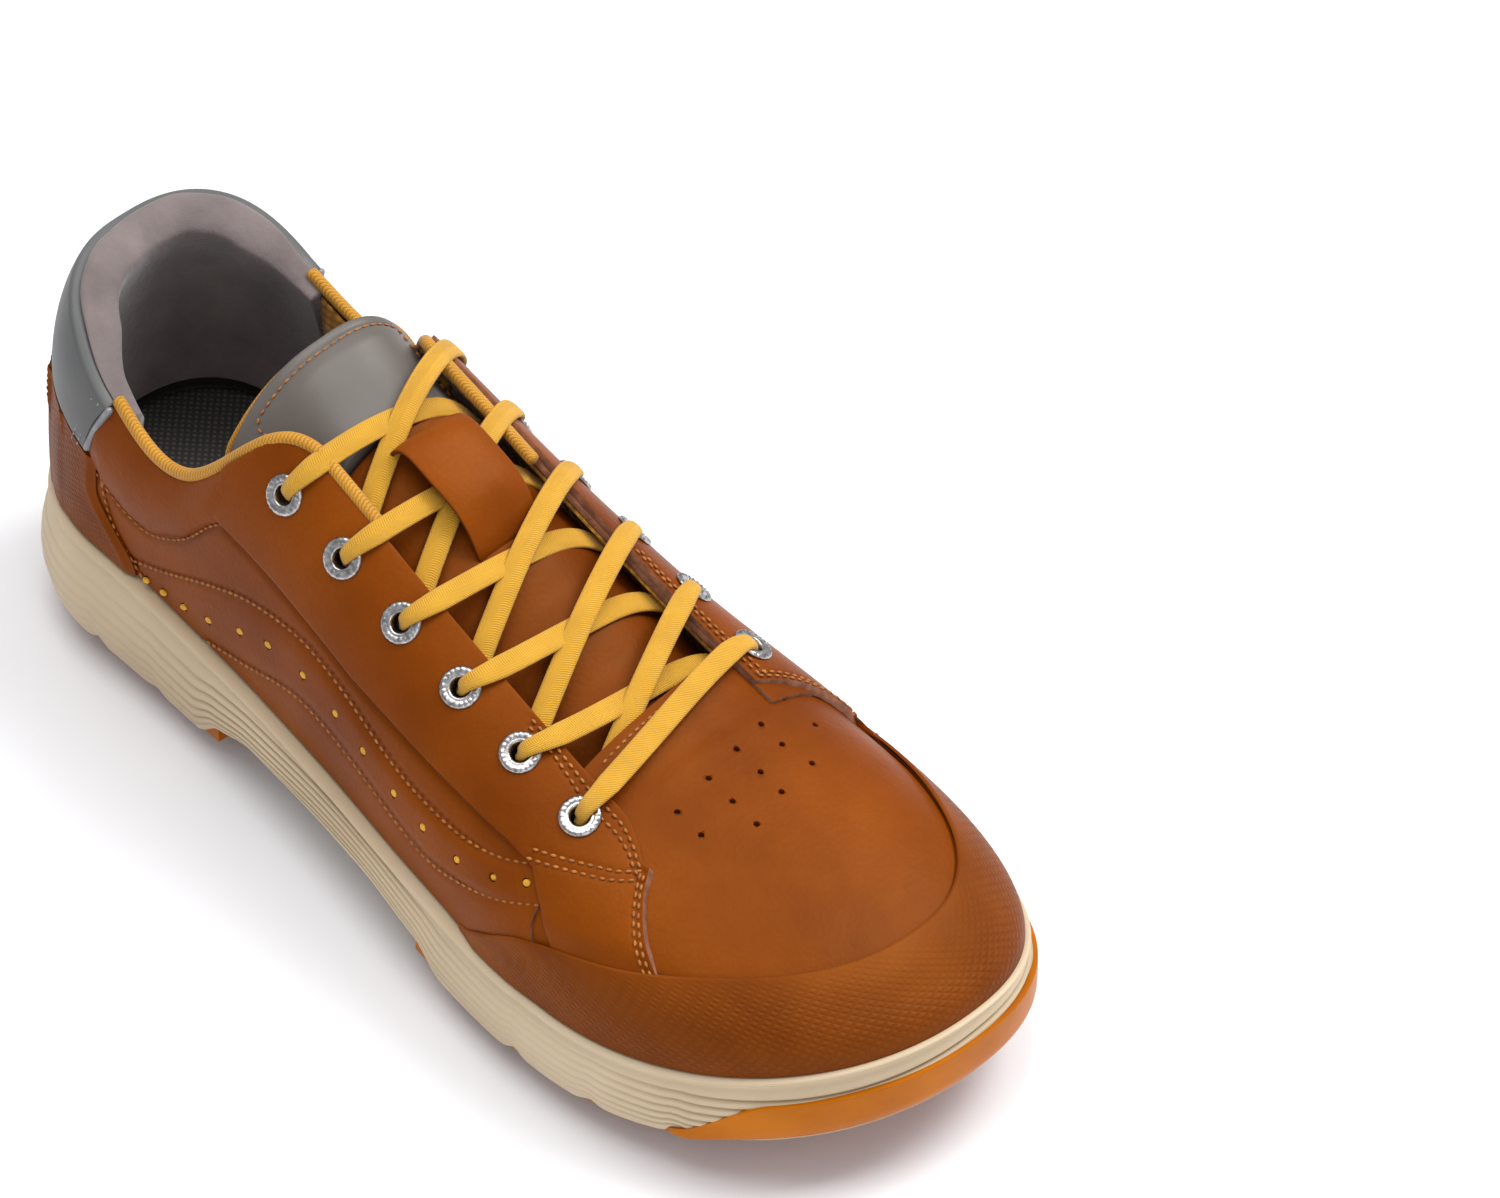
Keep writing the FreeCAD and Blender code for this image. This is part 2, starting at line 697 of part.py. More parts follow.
def outline(margin):
    """Closed smooth outline of the sole."""
    points = []
    for side in (LATERAL, MEDIAL):
        for i in range(SOLE_STATIONS):
            v = 0.5 * i / SOLE_STATIONS
            points.append(rim_point(side, v if side == LATERAL else 0.5 - v, margin))
    curve = Part.BSplineCurve()
    curve.interpolate(Points=points, PeriodicFlag=True)
    return Part.Wire(curve.toShape())


def plan_prism(name, wires):
    """Upright prism over a plan outline, as an extrusion of the document."""
    plan = feature(name + "_plan", Part.Compound([Part.Face(wire) for wire in wires]))
    item = doc.addObject("Part::Extrusion", name + "_prism")
    item.Base = plan
    item.DirMode = "Custom"
    item.Dir = Vector(0, 0, 1)
    item.LengthFwd = 90
    item.Solid = True
    return item


def profile_prism(name, lower, upper, x_from, x_to):
    """Prism across the shoe between two height curves."""
    count = max(4, int((x_to - x_from) / 9))
    stations = [mix(x_from, x_to, i / count) for i in range(count + 1)]
    low = Part.BSplineCurve()
    low.interpolate([Vector(x, -90, lower(x)) for x in stations])
    high = Part.BSplineCurve()
    high.interpolate([Vector(x, -90, upper(x)) for x in stations])
    ends = [Part.makeLine(Vector(x, -90, lower(x)), Vector(x, -90, upper(x))) for x in (x_to, x_from)]
    wire = Part.Wire([low.toShape(), ends[0], high.toShape(), ends[1]])
    side = feature(name + "_side", Part.Face(wire))
    item = doc.addObject("Part::Extrusion", name + "_slab")
    item.Base = side
    item.DirMode = "Custom"
    item.Dir = Vector(0, 1, 0)
    item.LengthFwd = 180
    item.Solid = True
    return item


def layer(name, wires, lower, upper, x_from=-160, x_to=160):
    """Plan outline and height profile brought together into one slab."""
    prism = plan_prism(name, wires)
    slab = profile_prism(name, lower, upper, x_from, x_to)
    return boolean("Common", name + "_blank", prism, slab)


def smooth_bump(x, start, rise, fall, end):
    """0 outside start..end, 1 between rise and fall."""
    def ease(k):
        k = min(1.0, max(0.0, k))
        return k * k * (3 - 2 * k)
    return ease((x - start) / (rise - start)) * ease((end - x) / (end - fall))


def ground(height):
    """Height curve that follows the toe spring and the rolled back of the heel."""
    def curve(x):
        roll = 4.0 * (max(0.0, -118 - x) / 30)**2
        return height + spring(x) + roll
    return curve


CLEARANCE = size("ground_clearance")
PLATE_TOP = CLEARANCE + size("outsole_plate")
BACKING_TOP = PLATE_TOP + 0.1 + size("backing_plate")
MIDSOLE_BASE = BACKING_TOP + 0.1


def midsole_lower(x):
    return ground(MIDSOLE_BASE)(x) + size("arch_rise") * smooth_bump(x, -62, -44, 4, 30)


def rim_top(x):
    return feather(x) - 0.25


def cup_floor(x):
    return feather(x) - size("midsole_cup")


# ---------------------------------------------------------------- cleats: places
CLEATS = [(108, 19), (92, -25), (76, 34), (46, -31), (43, 29), (-80, -20), (-88, 18)]


def cleat_frame(i):
    """Seat of a cleat on the outsole; its own +Z is up into the sole."""
    x, y = CLEATS[i]
    slope = (ground(0)(x + 0.5) - ground(0)(x - 0.5))
    up = Vector(-slope, 0, 1)
    up.normalize()
    return Placement(Vector(x, y, ground(CLEARANCE)(x)), Rotation(Vector(0, 0, 1), up))


def cleat_drills(name, radius, height):
    """Seven equal drills, one over each cleat seat."""
    tools = []
    for i in range(len(CLEATS)):
        drill = doc.addObject("Part::Cylinder", "%s_drill_%d" % (name, i + 1))
        drill.Radius = radius
        drill.Height = height + 2
        drill.Placement = cleat_frame(i).multiply(Placement(Vector(0, 0, -2), Rotation()))
        tools.append(drill)
    group = doc.addObject("Part::Compound", name + "_drills")
    group.Links = tools
    return group


# ---------------------------------------------------------------- midsole, board, insole
MARGIN = size("sole_margin")
RIM_WIDTH = 9.5
block = layer("midsole", [outline(MARGIN)], midsole_lower, rim_top)
cup = layer("midsole_cup", [outline(MARGIN - RIM_WIDTH)], cup_floor, lambda x: feather(x) + 20)
cupped = boolean("Cut", "midsole_cupped", block, cup)
seats = cleat_drills("midsole", size("receptacle_radius") + 0.1, size("receptacle_height") + 0.2)
midsole = boolean("Cut", "midsole", cupped, seats)
BOARD_TOP = size("board") + 0.1
board = layer("insole_board", [outline(MARGIN - RIM_WIDTH - 0.4)],
              lambda x: cup_floor(x) + 0.1, lambda x: cup_floor(x) + BOARD_TOP)
board.Label = "insole_board"
sock = layer("insole", [outline(MARGIN - RIM_WIDTH - 0.5)],
             lambda x: cup_floor(x) + BOARD_TOP + 0.1, lambda x: cup_floor(x) + BOARD_TOP + size("insole"))
sock.Label = "insole"


# ---------------------------------------------------------------- outsole
def polygon(points):
    corners = [Vector(x, y, 0) for x, y in points]
    return Part.makePolygon(corners + corners[:1])


def rounded_polygon(points, radius):
    """Closed plan outline with equal rounded corners."""
    face = Part.Face(polygon(points))
    shrunk = face.makeOffset2D(-radius, join=2)
    return shrunk.makeOffset2D(radius, join=0).OuterWire


FORE_LOBES = [(170, -80), (170, 80), (24, 80), (24, 40), (34, 12), (46, 3), (46, -3), (28, -14),
              (22, -36), (22, -80)]
HEEL_LOBES = [(-170, -80), (-62, -80), (-62, -30), (-66, -8), (-80, -2), (-72, 10), (-66, 36),
              (-66, 80), (-170, 80)]
FLEX_GROOVES = [[(62, -80), (67, -20), (66, 30), (60, 80), (63.2, 80), (69.2, 30), (70.2, -20), (65.2, -80)],
                [(-106, -80), (-104, 0), (-107, 80), (-109.5, 80), (-106.5, 0), (-108.5, -80)]]


POD_INSET = 3.4
POD_BORDER = 3.0


def lobed_plan(corners, margin, inset):
    """Sole outline limited to a lobed region."""
    area = Part.Face(outline(MARGIN + margin))
    lobes = Part.Face(rounded_polygon(corners, 5.0))
    if inset:
        lobes = lobes.makeOffset2D(inset, join=0)
    return area.common(lobes)


def bars(x_from, x_to, pitch, width, zigzag):
    """Plan faces of cross ribs, with a zigzag amplitude or curved when it is negative."""
    faces = []
    x = x_from
    while x < x_to:
        front = []
        for k in range(-8, 9):
            y = k * 7.5
            shift = zigzag * (k % 2) if zigzag >= 0 else zigzag * (y / 40)**2
            front.append((x + shift, y))
        rear = [(px - width, py) for px, py in reversed(front)]
        faces.append(Part.Face(polygon(front + rear)))
        x += pitch
    return faces


def tread(name, corners, ribs, grooves, slots):
    """One outsole pod: a plate with raised ribs, slots and open cleat seats."""
    plan = lobed_plan(corners, -POD_INSET, 0)
    edge_band = plan.cut(lobed_plan(corners, -POD_INSET - POD_BORDER, -POD_BORDER))
    clear = []
    for x, y in CLEATS:
        clear.append(Part.Face(Part.Wire(Part.makeCircle(size("cleat_leg_reach") + 1.6, Vector(x, y, 0)))))
    pattern = Part.makeCompound(ribs).common(plan)
    pattern = pattern.cut(Part.makeCompound(clear + grooves))
    border = edge_band.cut(Part.makeCompound(clear + grooves))
    wall = feature(name + "_plate_plan", plan.cut(Part.makeCompound(slots)))
    blank = doc.addObject("Part::Extrusion", name + "_plate_prism")
    blank.Base = wall
    blank.DirMode = "Custom"
    blank.Dir = Vector(0, 0, 1)
    blank.LengthFwd = 60
    blank.Solid = True
    plate_slab = profile_prism(name + "_plate", ground(CLEARANCE), ground(PLATE_TOP), -160, 160)
    plate = boolean("Common", name + "_plate_blank", blank, plate_slab)
    rib_plan = feature(name + "_rib_plan", pattern.fuse(border))
    raised = doc.addObject("Part::Extrusion", name + "_rib_prism")
    raised.Base = rib_plan
    raised.DirMode = "Custom"
    raised.Dir = Vector(0, 0, 1)
    raised.LengthFwd = 60
    raised.Solid = True
    rib_slab = profile_prism(name + "_rib", ground(CLEARANCE - size("lug_height")),
                             ground(CLEARANCE + 0.5), -160, 160)
    lugs = boolean("Common", name + "_lugs", raised, rib_slab)
    whole = boolean("Fuse", name + "_whole", plate, lugs)
    drills = cleat_drills(name, size("receptacle_radius") + 0.1, 12)
    item = boolean("Cut", name + "_cut", whole, drills)
    item.Label = name
    return item


def slot_row(x, y_from, y_to, pitch, length, width):
    faces = []
    y = y_from
    while y <= y_to:
        faces.append(Part.Face(polygon([(x, y), (x + length, y), (x + length, y + width), (x, y + width)])))
        y += pitch
    return faces


groove_faces = [Part.Face(polygon(points)) for points in FLEX_GROOVES]
fore_ribs = bars(30, 152, 8.4, 4.4, 2.6)
heel_ribs = bars(-100, -58, 8.2, 4.2, 2.4) + bars(-139, -106, 8.6, 4.8, -7.0)
fore_slots = slot_row(56, -42, 44, 12.5, 5.0, 2.4) + slot_row(98, -30, 40, 12.5, 5.0, 2.4)
heel_slots = slot_row(-97, -30, 30, 12, 5.0, 2.4)
outsole_forefoot = tread("outsole_forefoot", FORE_LOBES, fore_ribs, groove_faces, fore_slots)
outsole_heel = tread("outsole_heel", HEEL_LOBES, heel_ribs, groove_faces, heel_slots)


def backing(name, corners):
    """Dark plate over an outsole pod; it shows through the slots."""
    plan = feature(name + "_plan", lobed_plan(corners, -POD_INSET - 2.0, -2.0))
    prism = doc.addObject("Part::Extrusion", name + "_prism")
    prism.Base = plan
    prism.DirMode = "Custom"
    prism.Dir = Vector(0, 0, 1)
    prism.LengthFwd = 60
    prism.Solid = True
    slab = profile_prism(name, ground(PLATE_TOP + 0.1), ground(BACKING_TOP), -160, 160)
    blank = boolean("Common", name + "_blank", prism, slab)
    item = boolean("Cut", name + "_cut", blank, cleat_drills(name, size("receptacle_radius") + 0.1, 12))
    item.Label = name
    return item


backing("forefoot_plate", FORE_LOBES)
backing("heel_plate", HEEL_LOBES)

# ---------------------------------------------------------------- shank
SHANK_PLAN = [(44, -6), (44, 10), (20, 34), (8, 30), (-20, 23), (-50, 27), (-64, 31), (-66, 10), (-76, 2),
              (-76, -6), (-66, -12), (-60, -34), (-46, -31), (-14, -26), (8, -32), (20, -40), (26, -18)]


def shank_lower(x):
    return ground(CLEARANCE + 1.6)(x) + 3.2 * smooth_bump(x, -62, -40, 0, 30)


def shank_upper(x):
    return midsole_lower(x) - 0.2


shank_area = Part.Face(rounded_polygon(SHANK_PLAN, 3.0))
for corners in (FORE_LOBES, HEEL_LOBES):
    shank_area = shank_area.cut(lobed_plan(corners, 10, 0.35))
shank_area = max(shank_area.Faces, key=lambda face: face.Area)
shank_blank = layer("shank_body", [shank_area.OuterWire], shank_lower, shank_upper)
windows = []
for i in range(7):
    x = -38 + i * 7.4
    windows.append(Part.makeBox(3.6, 7.5, 4, Vector(x, 12.5, 4)))
for i in range(4):
    x = -30 + i * 8.4
    windows.append(Part.makeBox(4.2, 7.5, 4, Vector(x, -23, 4)))
window_tools = feature("shank_window_tools", Part.Compound(windows))
doc.recompute()
for box in windows:
    low = shank_lower(box.BoundBox.XMin + 1.5)
    box.translate(Vector(0, 0, low + 0.7 - box.BoundBox.ZMax))
window_tools.Shape = Part.Compound(windows)
shank = boolean("Cut", "shank_cut", shank_blank, window_tools)
shank.Label = "shank"

# ---------------------------------------------------------------- cleats, studs, receptacles
def origin_plane(body, role):
    return [plane for plane in body.Origin.OriginFeatures if plane.Role == role][0]


def sketch_on(body, role, name):
    sketch = body.newObject("Sketcher::SketchObject", name)
    sketch.AttachmentSupport = (origin_plane(body, role), [""])
    sketch.MapMode = "FlatFace"
    return sketch


def add_circle(sketch, radius_cell, centre=(0, 0)):
    index = sketch.addGeometry(Part.Circle(Vector(centre[0], centre[1], 0), Vector(0, 0, 1), 1.0), False)
    name = "radius_%d" % index
    sketch.addConstraint(Sketcher.Constraint("Radius", index, 1.0))
    sketch.renameConstraint(sketch.ConstraintCount - 1, name)
    sketch.setExpression("Constraints." + name, "Dimensions." + radius_cell)
    return index


LEGS = 6
LEG_SWEEP = 26.0


def leg_outline(sketch):
    """One curved pinwheel leg seen from below: root at the hub, tip swept round."""
    reach = size("cleat_leg_reach")
    root = size("cleat_leg_inner")
    half = size("cleat_leg_width") / 2
    sweep = math.radians(LEG_SWEEP)
    tip = Vector(reach * math.cos(sweep), reach * math.sin(sweep), 0)
    corners = [Vector(root - 1.5, -half, 0), Vector(0.8 * reach, -half + 1.0, 0), tip,
               Vector(tip.x - 2.0, tip.y + 1.6, 0), Vector(root + 1.0, half, 0), Vector(root - 1.5, half, 0)]
    for a, b in zip(corners, corners[1:] + corners[:1]):
        sketch.addGeometry(Part.LineSegment(a, b), False)


def cleat(i):
    """Soft plastic cleat: a flanged disc with six swept legs and a central hub."""
    body = doc.addObject("PartDesign::Body", "cleat_%d" % (i + 1))
    disc = sketch_on(body, "XY_Plane", "disc_%d" % (i + 1))
    add_circle(disc, "cleat_flange")
    base = body.newObject("PartDesign::Pad", "flange_%d" % (i + 1))
    base.Profile = disc
    base.Reversed = True
    base.setExpression("Length", "Dimensions.cleat_dome")
    hub = sketch_on(body, "XY_Plane", "hub_%d" % (i + 1))
    add_circle(hub, "cleat_hub")
    core = body.newObject("PartDesign::Pad", "core_%d" % (i + 1))
    core.Profile = hub
    core.Reversed = True
    core.setExpression("Length", "Dimensions.ground_clearance * 0.62")
    leg = sketch_on(body, "XY_Plane", "leg_%d" % (i + 1))
    leg_outline(leg)
    blade = body.newObject("PartDesign::Pad", "blade_%d" % (i + 1))
    blade.Profile = leg
    blade.Reversed = True
    blade.setExpression("Length", "Dimensions.ground_clearance - Dimensions.cleat_gap")
    doc.recompute()
    ringed = body.newObject("PartDesign::PolarPattern", "legs_%d" % (i + 1))
    ringed.Originals = [blade]
    ringed.Axis = (origin_axis(body), [""])
    ringed.Angle = 360
    ringed.Occurrences = LEGS
    body.Tip = ringed
    doc.recompute()
    holes = sketch_on(body, "XY_Plane", "wrench_%d" % (i + 1))
    for k in (-1, 1):
        add_circle(holes, "wrench_hole", (0, k * size("wrench_pitch")))
    pocket = body.newObject("PartDesign::Pocket", "wrench_holes_%d" % (i + 1))
    pocket.Profile = holes
    pocket.Type = "ThroughAll"
    body.Tip = pocket
    seat = Placement(Vector(0, 0, -size("cleat_gap")), Rotation())
    body.Placement = cleat_frame(i).multiply(seat)
    body.Label = "cleat_%d" % (i + 1)
    return body


def origin_axis(body):
    return [axis for axis in body.Origin.OriginFeatures if axis.Role == "Z_Axis"][0]


for i in range(len(CLEATS)):
    cleat(i)
    stud = cylinder("cleat_stud_%d" % (i + 1), "Dimensions.stud_radius", "Dimensions.stud_length")
    stud.Placement = cleat_frame(i).multiply(Placement(Vector(0, 0, -size("cleat_gap")), Rotation()))

receptacles = []
for i in range(len(CLEATS)):
    shell = cylinder("receptacle_shell_%d" % (i + 1), "Dimensions.receptacle_radius",
                     "Dimensions.receptacle_height")
    shell.Placement = cleat_frame(i)
    socket = cylinder("receptacle_socket_%d" % (i + 1), "Dimensions.receptacle_bore",
                      "Dimensions.stud_length + 0.4")
    socket.Placement = cleat_frame(i).multiply(Placement(Vector(0, 0, -0.1), Rotation()))
    receptacles.append(boolean("Cut", "receptacle_%d" % (i + 1), shell, socket))
nest = doc.addObject("Part::Compound", "cleat_receptacles")
nest.Links = receptacles
doc.recompute()

# ---------------------------------------------------------------- check and write
NODES = ["vamp", "vamp_lining", "toe_cap", "toe_puff", "toe_lining", "quarter_lateral", "quarter_medial",
         "quarter_lining_lateral", "quarter_lining_medial", "eyestay_lateral", "eyestay_medial",
         "heel_counter_cover", "collar_cuff", "heel_stiffener", "collar_lining", "tongue",
         "tongue_panel", "tongue_top", "lace_keeper", "eyelets_lateral", "eyelets_medial", "shoelace",
         "lace_aglets", "insole_board", "insole", "midsole", "shank", "outsole_forefoot",
         "outsole_heel", "forefoot_plate", "heel_plate", "cleat_receptacles"]
NODES += ["cleat_%d" % (i + 1) for i in range(len(CLEATS))]
NODES += ["cleat_stud_%d" % (i + 1) for i in range(len(CLEATS))]

for item in doc.Objects:
    if "Invalid" in item.State or "Error" in item.State:
        raise RuntimeError("failed object " + item.Name)
by_label = {item.Label: item for item in doc.Objects}
os.makedirs("parts", exist_ok=True)
for name in NODES:
    shape = by_label[name].Shape
    if shape.isNull() or not shape.isValid() or not shape.Solids:
        raise RuntimeError("bad shape " + name)
    shape.exportStep("parts/%s.step" % name)
    print(name, len(shape.Solids), round(shape.Volume), "mm3")
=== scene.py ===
# %% [markdown]
# # A laced golf shoe with screw-in cleats
# The CAD model is loaded first as a fixed frame. It says where every part is, so each
# new piece is made straight in its own place. Lengths are worked out in millimetres,
# as a shoemaker would, and turned into Blender's metres when a mesh is written.

# %% Load the frame
import math

import bmesh
import bpy
import numpy as np
from mathutils import Matrix, Vector


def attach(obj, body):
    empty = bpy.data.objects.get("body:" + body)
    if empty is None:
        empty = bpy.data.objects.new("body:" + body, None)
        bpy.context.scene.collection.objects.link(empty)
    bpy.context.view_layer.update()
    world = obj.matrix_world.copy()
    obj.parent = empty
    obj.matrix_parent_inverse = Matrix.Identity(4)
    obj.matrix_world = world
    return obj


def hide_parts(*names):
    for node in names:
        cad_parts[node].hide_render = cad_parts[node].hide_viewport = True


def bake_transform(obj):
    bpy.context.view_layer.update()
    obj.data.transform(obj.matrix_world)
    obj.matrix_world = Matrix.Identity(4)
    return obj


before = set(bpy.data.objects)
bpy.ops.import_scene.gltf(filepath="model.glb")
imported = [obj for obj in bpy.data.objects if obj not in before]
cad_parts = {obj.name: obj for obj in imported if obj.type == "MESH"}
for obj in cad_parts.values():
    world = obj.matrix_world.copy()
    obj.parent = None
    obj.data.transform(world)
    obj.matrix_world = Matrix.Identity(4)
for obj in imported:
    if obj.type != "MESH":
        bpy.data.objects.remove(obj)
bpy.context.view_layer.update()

MM = 0.001

# %% [markdown]
# ## Camera
# The camera comes first, because everything is judged from it. A long lens from well
# above and in front of the outer side keeps the shoe's proportions natural. Its place
# is a direction round the shoe, a distance and a small roll.

# %% Camera
AZIMUTH, ELEVATION, ROLL = (math.radians(value) for value in (44.17, 44.13, 2.02))
AIM = Vector((39.4, 40.1, 71.9)) * MM
DISTANCE = 1384.8 * MM
LENS = 140.5

back = Vector((math.sin(AZIMUTH) * math.cos(ELEVATION), -math.cos(AZIMUTH) * math.cos(ELEVATION),
               math.sin(ELEVATION)))
level = Vector((math.cos(AZIMUTH), math.sin(AZIMUTH), 0))
upright = back.cross(level)
right = level * math.cos(ROLL) + upright * math.sin(ROLL)
up = upright * math.cos(ROLL) - level * math.sin(ROLL)
camera = bpy.data.objects.new("camera", bpy.data.cameras.new("camera"))
camera.data.lens = LENS
camera.data.sensor_width = 36
camera.data.clip_end = 20
turn = Matrix((right, up, back)).transposed().to_4x4()
camera.matrix_world = Matrix.Translation(AIM + back * DISTANCE) @ turn
bpy.context.scene.collection.objects.link(camera)
bpy.context.scene.camera = camera
print("camera", [round(value, 3) for value in camera.location])

# %% [markdown]
# ## Studio
# A product shot needs a white sweep and broad soft lights. Area lights give soft edges
# to the highlights on the leather, and a pale world fills the shadows.

# %% Floor, lights and world
FLOOR_SIZE = 3.0


def link(thing):
    bpy.context.scene.collection.objects.link(thing)
    return thing


def area_light(name, place, size, power):
    lamp = bpy.data.lights.new(name, "AREA")
    lamp.size = size
    lamp.energy = power
    holder = link(bpy.data.objects.new(name, lamp))
    holder.location = place
    holder.rotation_euler = (Vector((0, 0, 0.04)) - Vector(place)).to_track_quat("-Z", "Y").to_euler()
    return holder


area_light("key", (0.35, 0.75, 1.25), 0.7, 17)
area_light("top", (-0.25, -0.1, 1.5), 1.1, 13)
area_light("fill", (1.3, -0.7, 0.7), 1.1, 5)
world = bpy.data.worlds.new("studio")
world.use_nodes = True
world.node_tree.nodes["Background"].inputs["Color"].default_value = (0.93, 0.95, 1.0, 1)
world.node_tree.nodes["Background"].inputs["Strength"].default_value = 0.5
bpy.context.scene.world = world
bpy.context.scene.view_settings.view_transform = "Standard"

floor_form = bmesh.new()
bmesh.ops.create_grid(floor_form, x_segments=1, y_segments=1, size=FLOOR_SIZE)
floor_mesh = bpy.data.meshes.new("floor")
floor_form.to_mesh(floor_mesh)
floor = link(bpy.data.objects.new("floor", floor_mesh))

# %% [markdown]
# ## The last
# A shoe's upper is pulled over a last, the foot-shaped form. Here the last is a
# formula: for a place round the outline and a share of the way up to the ridge it
# gives a point. All the upper's panels are layers at a small depth over or under it.
# Writing it once means that every panel, seam and stitch agrees with its neighbours.

# %% Driving curves of the last
HEEL_X, TOE_X = -108.0, 72.0
HEEL_REACH, TOE_REACH = 37.5, 73.5
HEEL_SHARE, SIDE_SHARE = 0.1, 0.36
SECTION_POWER, CROWN_POWER, HEEL_POWER = 2.6, 2.3, 2.2
TOE_POWER_LATERAL, TOE_POWER_MEDIAL = 2.05, 2.45
SPINE = [(-108, -1), (-45, 1.5), (20, 4.5), (72, 6)]
LATERAL_WIDTH = [(-108, 37), (-60, 41), (-20, 47), (20, 55), (57, 61), (72, 61)]
MEDIAL_WIDTH = [(-108, 35.5), (-60, 36), (-20, 37.5), (20, 41), (57, 46), (72, 46)]
RIDGE = [(-146, 125), (-108, 124), (-70, 119), (-45, 109), (-4, 90), (25, 77.5), (57, 66),
         (80, 61), (110, 57), (146, 53)]
FEATHER = [(-146, 38.5), (-108, 37), (-60, 33), (0, 28.5), (60, 26.5), (146, 26.5)]


def along(table, x):
    """Smooth value of a driving curve at x, for numbers or arrays."""
    places, values = np.array(table, float).T
    x = np.clip(np.asarray(x, float), places[0], places[-1])
    slopes = np.diff(values) / np.diff(places)
    tangents = np.concatenate([[0.0], 0.5 * (slopes[:-1] + slopes[1:]), [0.0]])
    i = np.clip(np.searchsorted(places, x, side="right") - 1, 0, len(places) - 2)
    step = places[i + 1] - places[i]
    k = (x - places[i]) / step
    return ((2 * k**3 - 3 * k**2 + 1) * values[i] + (k**3 - 2 * k**2 + k) * step * tangents[i]
            + (3 * k**2 - 2 * k**3) * values[i + 1] + (k**3 - k**2) * step * tangents[i + 1])


def toe_lift(x):
    return 14.0 * (np.maximum(0.0, np.asarray(x, float) - 60) / 90)**2


def feather(x):
    """Height of the line where the upper meets the midsole."""
    return along(FEATHER, x) + toe_lift(x)


def half_width(x, side):
    return np.where(side < 0, along(LATERAL_WIDTH, x), along(MEDIAL_WIDTH, x))


def v_at(x):
    """Share of the way round, from the heel's back to the toe, at a station."""
    return HEEL_SHARE + (SIDE_SHARE - HEEL_SHARE) * (x - HEEL_X) / (TOE_X - HEEL_X)


def outline(u):
    """Middle and edge of the plan at u: 0 heel, -0.5 and 0.5 toe, negative on the outer side."""
    u = (np.asarray(u, float) + 0.5) % 1.0 - 0.5
    side = np.where(u < 0, -1.0, 1.0)
    v = np.abs(u)
    station = HEEL_X + (TOE_X - HEEL_X) * (v - HEEL_SHARE) / (SIDE_SHARE - HEEL_SHARE)
    middle_x = np.clip(station, HEEL_X, TOE_X)
    turn = np.where(v < HEEL_SHARE, v / HEEL_SHARE, np.minimum(1, (0.5 - v) / (0.5 - SIDE_SHARE)))
    angle = 0.5 * math.pi * turn
    reach = np.where(v < HEEL_SHARE, -HEEL_REACH, TOE_REACH)
    toe_power = np.where(side < 0, TOE_POWER_LATERAL, TOE_POWER_MEDIAL)
    power = np.where(v < HEEL_SHARE, HEEL_POWER, toe_power)
    width = half_width(middle_x, side)
    middle_y = along(SPINE, middle_x)
    radius = ((np.cos(angle) / np.abs(reach))**power + (np.sin(angle) / width)**power)**(-1 / power)
    edge_x = middle_x + np.sign(reach) * radius * np.cos(angle)
    edge_y = middle_y + side * radius * np.sin(angle)
    return middle_x, middle_y, edge_x, edge_y


def last(u, t):
    """Points of the last: t is 0 at the feather line and 1 on the ridge."""
    u, t = np.broadcast_arrays(np.asarray(u, float), np.asarray(t, float))
    middle_x, middle_y, edge_x, edge_y = outline(u)
    plan = np.maximum(0, np.cos(0.5 * math.pi * t))**(2 / SECTION_POWER)
    lift = np.maximum(0, np.sin(0.5 * math.pi * t))**(2 / CROWN_POWER)
    x = middle_x + (edge_x - middle_x) * plan
    y = middle_y + (edge_y - middle_y) * plan
    return np.stack([x, y, feather(x) + (along(RIDGE, x) - feather(x)) * lift], axis=-1)


def unit(vectors):
    return vectors / np.maximum(1e-9, np.linalg.norm(vectors, axis=-1, keepdims=True))


def last_normal(u, t):
    """Outward directions of the last."""
    t = np.clip(t, 0.012, 0.985)
    ahead = last(np.asarray(u) + 0.0015, t) - last(np.asarray(u) - 0.0015, t)
    higher = last(u, t + 0.008) - last(u, t - 0.008)
    return unit(np.cross(higher, ahead))


def crown(x, y):
    """Points of the last over a plan position."""
    x, y = np.broadcast_arrays(np.asarray(x, float), np.asarray(y, float))
    middle = along(SPINE, np.clip(x, HEEL_X, TOE_X))
    side = np.where(y < middle, -1.0, 1.0)
    across = np.abs(y - middle) / half_width(x, side)
    ahead = np.maximum(0.0, x - TOE_X) / TOE_REACH
    power = np.where(side < 0, TOE_POWER_LATERAL, TOE_POWER_MEDIAL)
    share = np.where(ahead > 0, (ahead**power + across**power)**(1 / power), across)
    rise = (1 - np.minimum(share, 0.999)**SECTION_POWER)**(1 / CROWN_POWER)
    return np.stack([x, y, feather(x) + (along(RIDGE, x) - feather(x)) * rise], axis=-1)


def crown_normal(x, y):
    step = 0.5
    slope_x = crown(x + step, y)[..., 2] - crown(x - step, y)[..., 2]
    slope_y = crown(x, y + step)[..., 2] - crown(x, y - step)[..., 2]
    return unit(np.stack([-slope_x, -slope_y, np.full_like(slope_x, 2 * step)], axis=-1))


def t_at_height(u, z):
    """How far up the section the last reaches a height."""
    low = np.zeros_like(np.asarray(u, float) + z)
    high = np.ones_like(low)
    for _ in range(26):
        middle = 0.5 * (low + high)
        short = last(u, middle)[..., 2] < z
        low = np.where(short, middle, low)
        high = np.where(short, high, middle)
    return low


def t_at_y(u, y):
    """How far up the section the last reaches a plan offset."""
    middle_x, middle_y, edge_x, edge_y = outline(u)
    share = np.minimum(1.0, np.abs(y - middle_y) / np.maximum(1, np.abs(edge_y - middle_y)))
    return 2 / math.pi * np.arccos(share**(SECTION_POWER / 2))


def mix(a, b, k):
    return a + (b - a) * k


